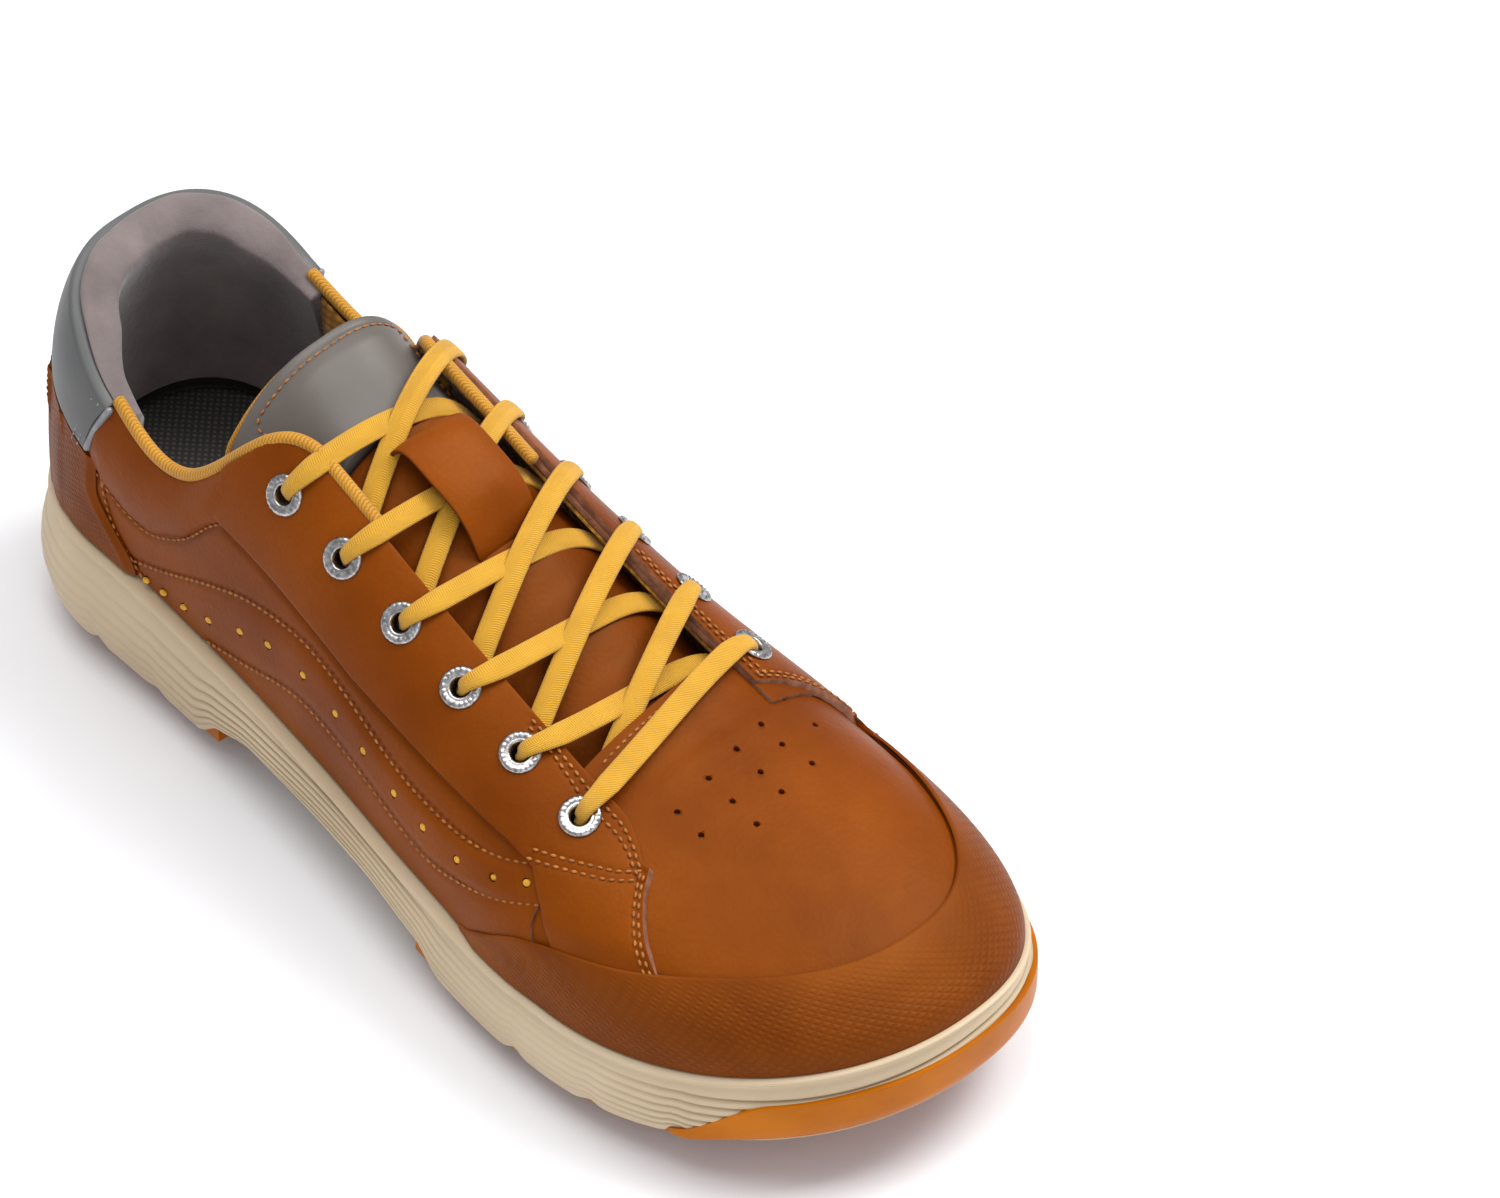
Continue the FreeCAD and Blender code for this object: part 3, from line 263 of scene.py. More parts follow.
def ease(k):
    """0 to 1 with a soft start and end."""
    k = np.clip(k, 0, 1)
    return k * k * (3 - 2 * k)


print("last length", round(float(last(0.5, 0)[0] - last(0, 0)[0]), 1), "mm")

# %% [markdown]
# ## The lines of the upper
# The topline is the edge that the foot goes in through. It dips under the ankle and
# then runs forward along the throat, beside the eyelets. The other seams start from it.

# %% Topline and throat
TOPLINE = [(0, 104), (0.04, 103), (0.07, 98), (v_at(-108), 87), (v_at(-92), 78), (v_at(-80), 77.5),
           (v_at(-71), 82), (v_at(-62), 92), (v_at(-52), 101.5)]
THROAT_FRONT = 61.5
MEDIAL_LIFT = 4.0
FOOT = 0.004
CORNER_ROUNDING = (-0.009, -0.006, -0.003, 0.0, 0.003, 0.006, 0.009)


def throat_edge(side, x):
    """Plan offset of the throat's edge at a station."""
    share = (x + 60) / 120
    return np.where(side < 0, mix(-21.5, -23.5, share), mix(22.5, 26.0, share))


def topline_corner(u):
    """The two parts of the top edge with a sharp corner between them."""
    u = np.asarray(u, float)
    side = np.where(u < 0, -1.0, 1.0)
    v = np.abs(u)
    end = np.where(side < 0, v_at(-51.0), v_at(-60.0))
    front = t_at_y(u, throat_edge(side, outline(u)[2]))
    ahead = np.maximum(0, v - HEEL_SHARE)
    shift = np.where(side < 0, 0, (v_at(-60) - v_at(-51)) * ahead / (end - HEEL_SHARE))
    lift = np.where(side < 0, 0, MEDIAL_LIFT * np.sin(math.pi * np.minimum(1, v / end)))
    rear = t_at_height(u, along(TOPLINE, v + shift) + lift)
    limit = np.where(v > HEEL_SHARE, t_at_y(u, throat_edge(side, -60.0)), 0.9)
    return np.where(v >= end, front, np.minimum(rear, limit))


def topline(u):
    """Share of the section where the upper's top edge runs, with its corner rounded."""
    u = np.asarray(u, float)
    return sum(topline_corner(u + shift) for shift in CORNER_ROUNDING) / len(CORNER_ROUNDING)


print("topline at the ankle", round(float(last(-v_at(-85), topline(-v_at(-85)))[2]), 1), "mm")

# %% [markdown]
# ## A panel maker
# Each panel is a grid whose points are moved on to the last. A grid is the cheapest
# even mesh for a sheet of leather, and its rows give a map in real lengths for the
# grain. Solidify gives the leather its thickness, and a small bevel its soft cut edge.

# %% Grid pieces
def spaced(columns, rows):
    """Shares along and across a grid, as two arrays of the same layout."""
    a, b = np.meshgrid(np.linspace(0, 1, columns + 1), np.linspace(0, 1, rows + 1), indexing="ij")
    return a, b


def measured_map(points):
    """Real lengths along and across a grid, in metres, for the material's map."""
    run = np.linalg.norm(np.diff(points, axis=0), axis=-1)
    climb = np.linalg.norm(np.diff(points, axis=1), axis=-1)
    across = np.concatenate([np.zeros((1, points.shape[1])), np.cumsum(run, axis=0)])
    across -= across[points.shape[0] // 2]
    upward = np.concatenate([np.zeros((points.shape[0], 1)), np.cumsum(climb, axis=1)], axis=1)
    return np.stack([across, upward], axis=-1) * MM


def grid_piece(name, points, outward=None, wall=0.0, rounding=0.3, marks=None, merge=False, skins=()):
    """Object from a grid of points in millimetres, with its outer side along outward."""
    columns, rows = points.shape[0] - 1, points.shape[1] - 1
    form = bmesh.new()
    bmesh.ops.create_grid(form, x_segments=columns, y_segments=rows, size=0.5)
    mesh = bpy.data.meshes.new(name)
    form.to_mesh(mesh)
    form.free()
    places = np.zeros(len(mesh.vertices) * 3)
    mesh.vertices.foreach_get("co", places)
    places = places.reshape(-1, 3)
    i = np.rint((places[:, 0] + 0.5) * columns).astype(int)
    j = np.rint((places[:, 1] + 0.5) * rows).astype(int)
    mesh.vertices.foreach_set("co", (points[i, j] * MM).ravel())
    corners = np.zeros(len(mesh.loops), int)
    mesh.loops.foreach_get("vertex_index", corners)
    mesh.uv_layers.new(name="UVMap")
    mesh.uv_layers["UVMap"].data.foreach_set("uv", measured_map(points)[i, j][corners].ravel())
    for label, values in (marks or {}).items():
        layer = mesh.attributes.new(label, "FLOAT", "POINT")
        layer.data.foreach_set("value", np.ascontiguousarray(values[i, j], dtype=float))
    mesh.update()
    if merge:
        weld(mesh)
    if outward is not None:
        facing = np.zeros(len(mesh.polygons) * 3)
        mesh.polygons.foreach_get("normal", facing)
        first = corners[np.array([face.loop_start for face in mesh.polygons])]
        if np.sum(facing.reshape(-1, 3) * outward[i, j][first]) < 0:
            mesh.flip_normals()
    mesh.shade_smooth()
    for material in skins:
        mesh.materials.append(material)
    piece = link(bpy.data.objects.new(name, mesh))
    if wall:
        skin = piece.modifiers.new("wall", "SOLIDIFY")
        skin.thickness = wall * MM
        skin.offset = -1
        skin.material_offset_rim = 1
        edge = piece.modifiers.new("edge", "BEVEL")
        edge.width = rounding * MM
        edge.segments = 2
        edge.limit_method = "ANGLE"
        edge.angle_limit = math.radians(50)
    print(name, len(mesh.polygons), "faces")
    return piece


def weld(mesh):
    """Merges meeting points and turns every face outwards."""
    form = bmesh.new()
    form.from_mesh(mesh)
    bmesh.ops.remove_doubles(form, verts=form.verts, dist=0.00002)
    bmesh.ops.recalc_face_normals(form, faces=form.faces)
    form.to_mesh(mesh)
    form.free()


def close_ends(mesh):
    """Fills the open ends of a tube and turns every face outwards."""
    form = bmesh.new()
    form.from_mesh(mesh)
    bmesh.ops.holes_fill(form, edges=[edge for edge in form.edges if edge.is_boundary], sides=0)
    bmesh.ops.recalc_face_normals(form, faces=form.faces)
    form.to_mesh(mesh)
    form.free()
    mesh.shade_smooth()


def finish_piece(piece, body, slot, *materials, replaces=()):
    """Gives a piece its materials and its body, and hides the CAD nodes that it stands for."""
    for material in materials:
        piece.data.materials.append(material)
    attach(piece, body)
    if replaces:
        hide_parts(*replaces)
    return piece


# %% [markdown]
# ## Materials
# Materials are trees of nodes, so they stay sharp at any distance. Each one
# starts from the Principled shader. Noise breaks up its colour and its roughness, and
# a Bump node adds the grain that is too fine to model.

# %% Material helpers
def paint(code):
    """Linear colour from a screen colour code."""
    parts = [int(code[k:k + 2], 16) / 255 for k in (0, 2, 4)]
    return tuple(c / 12.92 if c < 0.04045 else ((c + 0.055) / 1.055)**2.4 for c in parts) + (1.0,)


class Finish:
    """A material under construction."""

    def __init__(self, name, coordinates="Object", stretch=(1, 1, 1), turn=0.0):
        self.material = bpy.data.materials.new(name)
        self.material.use_nodes = True
        self.nodes = self.material.node_tree.nodes
        self.links = self.material.node_tree.links
        self.shader = self.nodes["Principled BSDF"]
        source = self.nodes.new("ShaderNodeTexCoord")
        self.place = self.nodes.new("ShaderNodeMapping")
        self.place.inputs["Scale"].default_value = stretch
        self.place.inputs["Rotation"].default_value = (0, 0, turn)
        self.links.new(source.outputs[coordinates], self.place.inputs["Vector"])

    def set(self, **sockets):
        for label, value in sockets.items():
            self.shader.inputs[label.replace("_", " ")].default_value = value
        return self

    def noise(self, scale, detail=3.0, roughness=0.5):
        texture = self.nodes.new("ShaderNodeTexNoise")
        texture.inputs["Scale"].default_value = scale
        texture.inputs["Detail"].default_value = detail
        texture.inputs["Roughness"].default_value = roughness
        self.links.new(self.place.outputs["Vector"], texture.inputs["Vector"])
        return texture.outputs["Fac"]

    def cells(self, scale, randomness=1.0, distance="EUCLIDEAN", feature="F1"):
        texture = self.nodes.new("ShaderNodeTexVoronoi")
        texture.feature = feature
        if feature == "F1":
            texture.distance = distance
        texture.inputs["Scale"].default_value = scale
        texture.inputs["Randomness"].default_value = randomness
        self.links.new(self.place.outputs["Vector"], texture.inputs["Vector"])
        return texture.outputs["Distance"]

    def waves(self, scale, direction="X", distortion=0.0):
        texture = self.nodes.new("ShaderNodeTexWave")
        texture.bands_direction = direction
        texture.inputs["Scale"].default_value = scale
        texture.inputs["Distortion"].default_value = distortion
        self.links.new(self.place.outputs["Vector"], texture.inputs["Vector"])
        return texture.outputs["Fac"]

    def mark(self, label):
        node = self.nodes.new("ShaderNodeAttribute")
        node.attribute_name = label
        return node.outputs["Fac"]

    def sum(self, a, b, operation="ADD"):
        node = self.nodes.new("ShaderNodeMath")
        node.operation = operation
        for socket, value in zip(node.inputs, (a, b)):
            if isinstance(value, (int, float)):
                socket.default_value = value
            else:
                self.links.new(value, socket)
        return node.outputs["Value"]

    def ramp(self, value, stops):
        node = self.nodes.new("ShaderNodeValToRGB")
        ramp = node.color_ramp
        while len(ramp.elements) < len(stops):
            ramp.elements.new(0.5)
        for element, (place, colour) in zip(ramp.elements, stops):
            element.position = place
            element.color = colour
        self.links.new(value, node.inputs["Fac"])
        return node.outputs["Color"]

    def blend(self, share, a, b, mode="MIX"):
        node = self.nodes.new("ShaderNodeMix")
        node.data_type = "RGBA"
        node.blend_type = mode
        for socket, value in ((node.inputs[0], share), (node.inputs[6], a), (node.inputs[7], b)):
            if isinstance(value, (int, float, tuple)):
                socket.default_value = value
            else:
                self.links.new(value, socket)
        return node.outputs[2]

    def colour(self, value):
        self.links.new(value, self.shader.inputs["Base Color"])
        return self

    def rough(self, value, low, high):
        node = self.nodes.new("ShaderNodeMapRange")
        node.inputs["To Min"].default_value = low
        node.inputs["To Max"].default_value = high
        self.links.new(value, node.inputs["Value"])
        self.links.new(node.outputs["Result"], self.shader.inputs["Roughness"])
        return self

    def bump(self, *heights):
        """heights: pairs of a value and its height in millimetres, the coarsest last."""
        below = None
        for value, depth in heights:
            node = self.nodes.new("ShaderNodeBump")
            node.inputs["Strength"].default_value = 1.0
            node.inputs["Distance"].default_value = depth * MM
            self.links.new(value, node.inputs["Height"])
            if below is not None:
                self.links.new(below, node.inputs["Normal"])
            below = node.outputs["Normal"]
        self.links.new(below, self.shader.inputs["Normal"])
        return self


# %% [markdown]
# ### Tan leather
# The real leather is smooth, tumbled and lightly waxed, with pores under a millimetre
# apart and a slow drift of colour. Voronoi cells make the pores, because leather grain
# is a net of closed cells, and a low noise moves the colour between two browns.

# %% Leathers
WARM_TINT = (1.0, 0.55, 0.22, 1.0)


def leather(name, light, dark, shine=0.42, grain=1.0):
    finish = Finish(name)
    drift = finish.noise(22, 4)
    pores = finish.cells(820)
    fine = finish.noise(2600, 2)
    tone = finish.ramp(drift, [(0.3, paint(dark)), (0.72, paint(light))])
    finish.colour(finish.blend(finish.sum(pores, 0.22, "MULTIPLY"), tone, paint(dark)))
    finish.rough(finish.noise(60, 3), shine - 0.05, shine + 0.1)
    finish.bump((fine, 0.02 * grain), (pores, 0.05 * grain), (finish.noise(180, 2), 0.1 * grain))
    return finish.set(Specular_IOR_Level=0.16, Specular_Tint=WARM_TINT).material


tan_leather = leather("tan_leather", "8B440B", "6B2F05", 0.42)
tongue_leather = leather("tongue_leather", "823F0B", "622B06", 0.44)
fold_leather = leather("fold_leather", "6E3812", "4F260A", 0.55)

# %% [markdown]
# The toe cap and the heel cover are the same hide with a pattern pressed in. A Voronoi
# with no randomness gives a regular lattice, and stretching its map makes the slanted
# basket cells. The panel carries a mark that fades the pattern out near its seam.

# %% Embossed leather
EMBOSS_CELL = 0.0022


def embossed_leather(name, light, dark):
    finish = Finish(name, "UV", (1 / EMBOSS_CELL, 1.5 / EMBOSS_CELL, 1), math.radians(45))
    lattice = finish.cells(1.0, 0.0, "CHEBYCHEV")
    drift = finish.noise(0.06, 4)
    pressed = finish.sum(finish.sum(lattice, -1.0, "MULTIPLY"), finish.mark("emboss"), "MULTIPLY")
    tone = finish.ramp(drift, [(0.3, paint(dark)), (0.72, paint(light))])
    shade = finish.sum(finish.sum(lattice, finish.mark("emboss"), "MULTIPLY"), 0.4, "MULTIPLY")
    finish.colour(finish.blend(shade, tone, paint("4A220A")))
    finish.rough(finish.noise(0.4, 2), 0.42, 0.54)
    finish.bump((finish.noise(6.0, 2), 0.03), (pressed, 0.42))
    return finish.set(Specular_IOR_Level=0.16, Specular_Tint=WARM_TINT).material


textured_leather = embossed_leather("textured_leather", "85430F", "672E07")

# %% [markdown]
# ### Cuff, raw edges, thread and lining
# The grey cuff is a satin coated synthetic. A raw edge shows the pinkish core of the
# leather. Thread gets a fine twist. The collar lining is brushed fabric, so it has a
# sheen at grazing angles and no real highlight.

# %% Soft finishes
def plain(name, light, dark, low, high, scale=30, bumps=(), **sockets):
    """A finish with a slow drift between two tones and listed bumps."""
    finish = Finish(name)
    finish.colour(finish.ramp(finish.noise(scale, 4), [(0.3, paint(dark)), (0.7, paint(light))]))
    finish.rough(finish.noise(scale * 3, 3), low, high)
    finish.bump(*[(finish.noise(size, 2), depth) for size, depth in bumps])
    return finish.set(**sockets).material


cuff_grey = plain("cuff_grey", "646463", "545453", 0.42, 0.54, 25, [(1500, 0.02), (300, 0.05)],
                  Specular_IOR_Level=0.35)
tongue_grey = plain("tongue_grey", "67605A", "57504A", 0.4, 0.5, 25, [(1800, 0.03), (260, 0.08)],
                    Specular_IOR_Level=0.45)
raw_edge = plain("raw_edge", "8F5E42", "643A26", 0.75, 0.9, 400, [(900, 0.15)])
thread_brown = plain("thread_brown", "B0702E", "8A4F1A", 0.6, 0.75, 300, [(4000, 0.05)])
thread_grey = plain("thread_grey", "9A9A9C", "74747A", 0.55, 0.7, 300, [(4000, 0.05)])
silver_piping = plain("silver_piping", "8E8E91", "737377", 0.42, 0.52, 200, [(2500, 0.03)], Metallic=0.35)
lining_suede = plain("lining_suede", "7C706E", "645957", 0.85, 0.97, 70, [(2400, 0.12), (500, 0.2)],
                     Sheen_Weight=0.35, Sheen_Roughness=0.5)


def quilted_mesh(name, light, dark, cell):
    finish = Finish(name, "Object", (1, 1, 1.25))
    net = finish.cells(1 / cell, 0.15)
    finish.colour(finish.ramp(net, [(0.15, paint(light)), (0.62, paint(dark))]))
    finish.rough(net, 0.6, 0.8)
    finish.bump((finish.noise(3500, 1), 0.05), (finish.sum(net, -1, "MULTIPLY"), 0.6))
    return finish.set(Sheen_Weight=0.2).material


yellow_mesh = quilted_mesh("yellow_mesh", "C98D10", "865603", 0.0026)


def woven_yellow(name, stretch, turn, light="DDA418", dark="A87610"):
    """Twill: fine slanted ridges with a second, finer weave across them."""
    finish = Finish(name, "UV", stretch, turn)
    twill = finish.waves(1.0, "X", 0.6)
    cross = finish.waves(2.3, "Y", 0.4)
    weave = finish.sum(twill, finish.sum(cross, 0.45, "MULTIPLY"))
    tone = finish.ramp(twill, [(0.0, paint(dark)), (0.55, paint(light))])
    drift = finish.ramp(finish.noise(0.2, 3), [(0.3, paint(dark)), (0.7, paint(light))])
    finish.colour(finish.blend(0.25, tone, drift))
    finish.rough(finish.noise(1.0, 2), 0.62, 0.8)
    finish.bump((weave, 0.08))
    return finish.set(Sheen_Weight=0.15).material


lace_twill = woven_yellow("lace_twill", (640, 640, 1), math.radians(35))
piping_twill = woven_yellow("piping_twill", (330, 330, 1), math.radians(25), "CC8F10", "925F06")

# %% [markdown]
# ### Hard finishes
# Foam, rubber, coated plastic and metal are set apart mostly by roughness. The foam is
# matt with a fine moulded skin, the rubber is glossier and deeper in colour, and the
# shank is a pearly paint, which a little metal under a coat gives.

# %% Sole and metal finishes
def moulded_foam(name, light, dark, shade):
    finish = Finish(name)
    tone = finish.ramp(finish.noise(16, 4), [(0.3, paint(dark)), (0.7, paint(light))])
    # Painted shade: the groove mark darkens the foam towards the shade colour in the wall's grooves.
    shaded = finish.blend(finish.mark("groove"), tone, paint(shade))
    # Painted shade: the inside mark turns the cup and the top wall rows near-black, like the shoe's shaded
    # interior.
    finish.colour(finish.blend(finish.mark("inside"), shaded, paint("2E2C2A")))
    finish.rough(finish.noise(48, 3), 0.5, 0.62)
    finish.bump((finish.noise(1600, 2), 0.04), (finish.noise(200, 2), 0.06))
    return finish.set(Specular_IOR_Level=0.35).material


midsole_foam = moulded_foam("midsole_foam", "CDB99A", "BCA787", "8C7656")
amber_rubber = plain("amber_rubber", "C06C06", "A65903", 0.36, 0.5, 40, [(1400, 0.05), (220, 0.08)],
                     Specular_IOR_Level=0.3, Specular_Tint=WARM_TINT)
shank_pearl = plain("shank_pearl", "8B868C", "736E74", 0.28, 0.4, 60, [(900, 0.02)],
                    Metallic=0.45, Coat_Weight=0.3, Coat_Roughness=0.25)
plate_dark = plain("plate_dark", "3A3330", "2A2523", 0.5, 0.65, 80, [(1200, 0.05)])
cleat_plastic = plain("cleat_plastic", "45484A", "2E3132", 0.34, 0.5, 120, [(1500, 0.05), (300, 0.05)])
socket_dark = plain("socket_dark", "2B2D2E", "1E2020", 0.45, 0.6, 120, [(1500, 0.04)])
stud_dark = plain("stud_dark", "56595B", "3C3F40", 0.3, 0.4, 200, [(2500, 0.03)], Metallic=0.4)
board_tan = plain("board_tan", "B59A78", "9A815F", 0.8, 0.92, 90, [(1100, 0.12)])
button_yellow = plain("button_yellow", "DFA526", "C08A14", 0.5, 0.62, 300, [(900, 0.05)])
aglet_clear = plain("aglet_clear", "E9DFC2", "D9C990", 0.12, 0.2, 150, [(600, 0.05)], Coat_Weight=0.5)
lining_tan = plain("lining_tan", "B08A66", "96714F", 0.7, 0.85, 90, [(1500, 0.08)])


def polished_metal(name):
    finish = Finish(name)
    finish.colour(finish.ramp(finish.noise(900, 3), [(0.35, paint("8D8A88")), (0.65, paint("C9C6C4"))]))
    finish.rough(finish.noise(700, 3), 0.2, 0.4)
    finish.bump((finish.noise(2200, 2), 0.03))
    return finish.set(Metallic=1.0).material


eyelet_nickel = polished_metal("eyelet_nickel")


def carbon_weave(name):
    """Insole cloth: two crossed sets of ribs that take turns on top."""
    finish = Finish(name, "Object", (1, 1, 0.2), math.radians(45))
    first = finish.waves(190, "X")
    second = finish.waves(190, "Y")
    weave = finish.sum(first, second, "MULTIPLY")
    finish.colour(finish.ramp(weave, [(0.1, paint("2A2826")), (0.75, paint("4D4946"))]))
    finish.rough(finish.noise(200, 3), 0.7, 0.88)
    finish.bump((finish.noise(2500, 1), 0.05), (weave, 0.2))
    return finish.material


insole_cloth = carbon_weave("insole_cloth")
floor.data.materials.append(plain("studio_floor", "F2F2F3", "EEEEF0", 0.7, 0.8, 2, [(80, 0.02)]))

# %% [markdown]
# ## Seams
# A seam is a line of places on the last. The same line presses a groove into the
# panel and carries the row of stitches, so the two can't part. Places between the
# listed ones come from the same smooth curve as the last's own lines.

# %% Seam lines and grooves
def seam_line(places, depth, count=160):
    """Dense line through (u, t) places, with its outward directions."""
    steps = np.arange(len(places))
    k = np.linspace(0, len(places) - 1, count)
    u = along(list(zip(steps, [p[0] for p in places])), k)
    t = along(list(zip(steps, [p[1] for p in places])), k)
    normals = last_normal(u, t)
    return last(u, t) + normals * depth, normals


def crown_line(places, depth, count=120):
    """Dense line through plan places over the crown."""
    steps = np.arange(len(places))
    k = np.linspace(0, len(places) - 1, count)
    x = along(list(zip(steps, [p[0] for p in places])), k)
    y = along(list(zip(steps, [p[1] for p in places])), k)
    normals = crown_normal(x, y)
    return crown(x, y) + normals * depth, normals


def distance_to(points, line):
    """Distance of every point of a grid to the nearest point of a line."""
    flat = points.reshape(-1, 3)
    square = (flat**2).sum(1)[:, None] + (line**2).sum(1)[None] - 2 * flat @ line.T
    return np.sqrt(np.maximum(0, square.min(1))).reshape(points.shape[:-1])


def groove(points, line, depth, width):
    return -depth * np.exp(-(distance_to(points, line) / width)**2)


def walk(line, normals, pitch, start=0.0):
    """Places, directions and normals at an even pitch along a line."""
    steps = np.linalg.norm(np.diff(line, axis=0), axis=1)
    run = np.concatenate([[0], np.cumsum(steps)])
    marks = np.arange(start + 0.5 * pitch, run[-1], pitch)
    spots = np.stack([np.interp(marks, run, line[:, k]) for k in range(3)], axis=1)
    ahead = np.stack([np.interp(marks + 0.3, run, line[:, k]) for k in range(3)], axis=1)
    behind = np.stack([np.interp(marks - 0.3, run, line[:, k]) for k in range(3)], axis=1)
    upward = unit(np.stack([np.interp(marks, run, normals[:, k]) for k in range(3)], axis=1))
    return spots, unit(ahead - behind), upward


def turned(place, forward, upward, scale):
    """Matrix that stands a unit shape at a place, its X forward and its Z upward."""
    sideways = np.cross(upward, forward)
    sideways /= max(1e-9, np.linalg.norm(sideways))
    upward = np.cross(forward, sideways)
    turn = Matrix([list(row) for row in np.stack([forward, sideways, upward], axis=1)]).to_4x4()
    return Matrix.Translation(Vector(place * MM)) @ turn @ Matrix.Diagonal((*[s * MM for s in scale], 1))


def form_piece(name, form, smooth=True):
    """Object from a bmesh that is already in place."""
    bmesh.ops.recalc_face_normals(form, faces=form.faces)
    mesh = bpy.data.meshes.new(name)
    form.to_mesh(mesh)
    form.free()
    if smooth:
        mesh.shade_smooth()
    print(name, len(mesh.polygons), "faces")
    return link(bpy.data.objects.new(name, mesh))


STITCH_PITCH = 2.3
STITCH_LENGTH = 0.85
STITCH_RADIUS = 0.4


def sew(form, line, normals, pitch=STITCH_PITCH, thick=STITCH_RADIUS, sink=0.05):
    """Adds a row of stitches: a flattened bead of thread for each."""
    for place, forward, upward in zip(*walk(line, normals, pitch)):
        scale = (STITCH_LENGTH * pitch / STITCH_PITCH, thick, thick * 0.8)
        matrix = turned(place - upward * sink, forward, upward, scale)
        bmesh.ops.create_uvsphere(form, u_segments=6, v_segments=4, radius=1.0, matrix=matrix)


brown_rows = bmesh.new()
grey_rows = bmesh.new()

# %% [markdown]
# ## Vamp
# The vamp is the smooth panel over the toes. It is the only panel that crosses the
# ridge, so its grid is laid out in plan. Thirteen small vent holes are really cut
# through it with a Boolean, because a painted dot looks flat from the side.

# %% Vamp
VAMP_REAR, VAMP_FRONT = 49.0, 134.0
LEATHER = 1.5


def vamp_edge(side, x):
    share = np.where(x < TOE_X, 0.975, mix(0.975, 0.89, np.minimum(1, (x - TOE_X) / 50)))
    ahead = np.maximum(0.0, x - TOE_X) / TOE_REACH
    power = TOE_POWER_LATERAL if side < 0 else TOE_POWER_MEDIAL
    across = np.maximum(0.0, share**power - ahead**power)**(1 / power)
    return along(SPINE, x) + side * half_width(x, side) * across


def cutters(spots, radius, length):
    """One object of round punches, each at a place and along a direction."""
    form = bmesh.new()
    for place, normal in spots:
        turn = Vector(normal).to_track_quat("Z", "Y").to_matrix().to_4x4()
        bmesh.ops.create_cone(form, cap_ends=True, segments=20, radius1=radius * MM, radius2=radius * MM,
                              depth=length * MM, matrix=Matrix.Translation(Vector(place) * MM) @ turn)
    mesh = bpy.data.meshes.new("punches")
    form.to_mesh(mesh)
    form.free()
    return link(bpy.data.objects.new("punches", mesh))


def punch(piece, spots, radius, length=9.0):
    """Cuts round holes through a piece and keeps the result as its mesh."""
    tool = cutters(spots, radius, length)
    cut = piece.modifiers.new("punch", "BOOLEAN")
    cut.operation = "DIFFERENCE"
    cut.solver = "EXACT"
    cut.object = tool
    ready = piece.evaluated_get(bpy.context.evaluated_depsgraph_get())
    mesh = bpy.data.meshes.new_from_object(ready)
    piece.modifiers.clear()
    piece.data = mesh
    mesh.name = piece.name
    bpy.data.objects.remove(tool)
    print(piece.name, "punched", len(spots), "holes")


VENT_RADIUS = 0.75
VENTS = [(61, 30), (65, 19), (67, 9), (69, -2), (71, -14), (71, 31), (72, 19), (75, 9), (77, -2), (79, -14),
         (80, 21), (82, 9), (85, -2)]

a, b = spaced(100, 84)
x = mix(VAMP_REAR, VAMP_FRONT, np.sin(0.5 * math.pi * a)**0.9) - 4 * (1 - a)**8 * b
spread = ease((x - 56) / 6)
outer = mix(throat_edge(-1, x), vamp_edge(-1, x), spread)
inner = mix(throat_edge(1, x), vamp_edge(1, x), spread)
y = mix(outer, inner, b)
tuck = 0.3 * ease((63 - x) / 2)
normals = crown_normal(x, y)
vamp = grid_piece("vamp_leather", crown(x, y) - normals * tuck[..., None], normals, wall=LEATHER,
                  skins=(tan_leather, fold_leather))
vamp_spots = [(crown(vx, vy), crown_normal(vx, vy)) for vx, vy in VENTS]
punch(vamp, vamp_spots, VENT_RADIUS)
finish_piece(vamp, "root", "leather_tan", replaces=("vamp",))
for inset in (2.0, 4.0):
    places = [(VAMP_REAR + inset, -19), (VAMP_REAR + inset - 2, 0), (VAMP_REAR - 3.4 + inset, 21)]
    sew(brown_rows, *crown_line(places, -0.2))

# %% [markdown]
# ## Toe cap
# The cap wraps the toe and is sewn over the vamp, so it sits a leather's thickness
# above it. Its top edge is folded, which gives the crisp dark line round the toe.

# %% Toe cap
COVER_TOP = 1.8
CAP_LATERAL = [(v_at(40), 0.02), (v_at(50), 0.09), (v_at(60), 0.19), (0.385, 0.345), (0.43, 0.465),
               (0.5, 0.52)]
CAP_MEDIAL = [(v_at(34), 0.02), (v_at(46), 0.12), (v_at(60), 0.24), (0.385, 0.36), (0.43, 0.46),
              (0.5, 0.52)]


def cap_line(u):
    return np.where(u < 0, along(CAP_LATERAL, np.abs(u)), along(CAP_MEDIAL, np.abs(u)))


def round_toe(a, lateral_end, medial_end):
    """Perimeter value of a run from the outer side round the toe to the inner side."""
    return (-lateral_end - a * (1 - lateral_end - medial_end) + 0.5) % 1.0 - 0.5


def folded(b, length, radius):
    """How far a folded edge turns down, for a share b of a height in millimetres."""
    gap = np.clip((1 - b) * length / radius, 0, 1)
    return -radius * (1 - np.sqrt(1 - (1 - gap)**2))


a, b = spaced(220, 44)
b = 1 - (1 - b)**1.25
u = round_toe(a, CAP_LATERAL[0][0], CAP_MEDIAL[0][0])
t = mix(FOOT, cap_line(u), b)
normals = last_normal(u, t)
settle = ease(np.minimum(a, 1 - a) / 0.03)
cap_lift = mix(0.7, COVER_TOP - 0.05, settle) + folded(b, 34 * np.maximum(0.12, cap_line(u) / 0.5), 0.7)
surface = last(u, t) + normals * cap_lift[..., None]
fade = np.clip((cap_line(u) - t) / 0.13, 0, 1)**0.7
cap = grid_piece("toe_cap_leather", surface, normals, wall=LEATHER, rounding=0.25, marks={"emboss": fade})
finish_piece(cap, "root", "leather_textured", textured_leather, fold_leather, replaces=("toe_cap",))

# %% [markdown]
# ## Quarters
# The quarters are the sides. A padded roll stands out under the topline, a stitched
# band with small perforations sweeps along the outer side, and a double seam marks the
# heel counter. These are pressed into the grid as real relief, so light catches them.

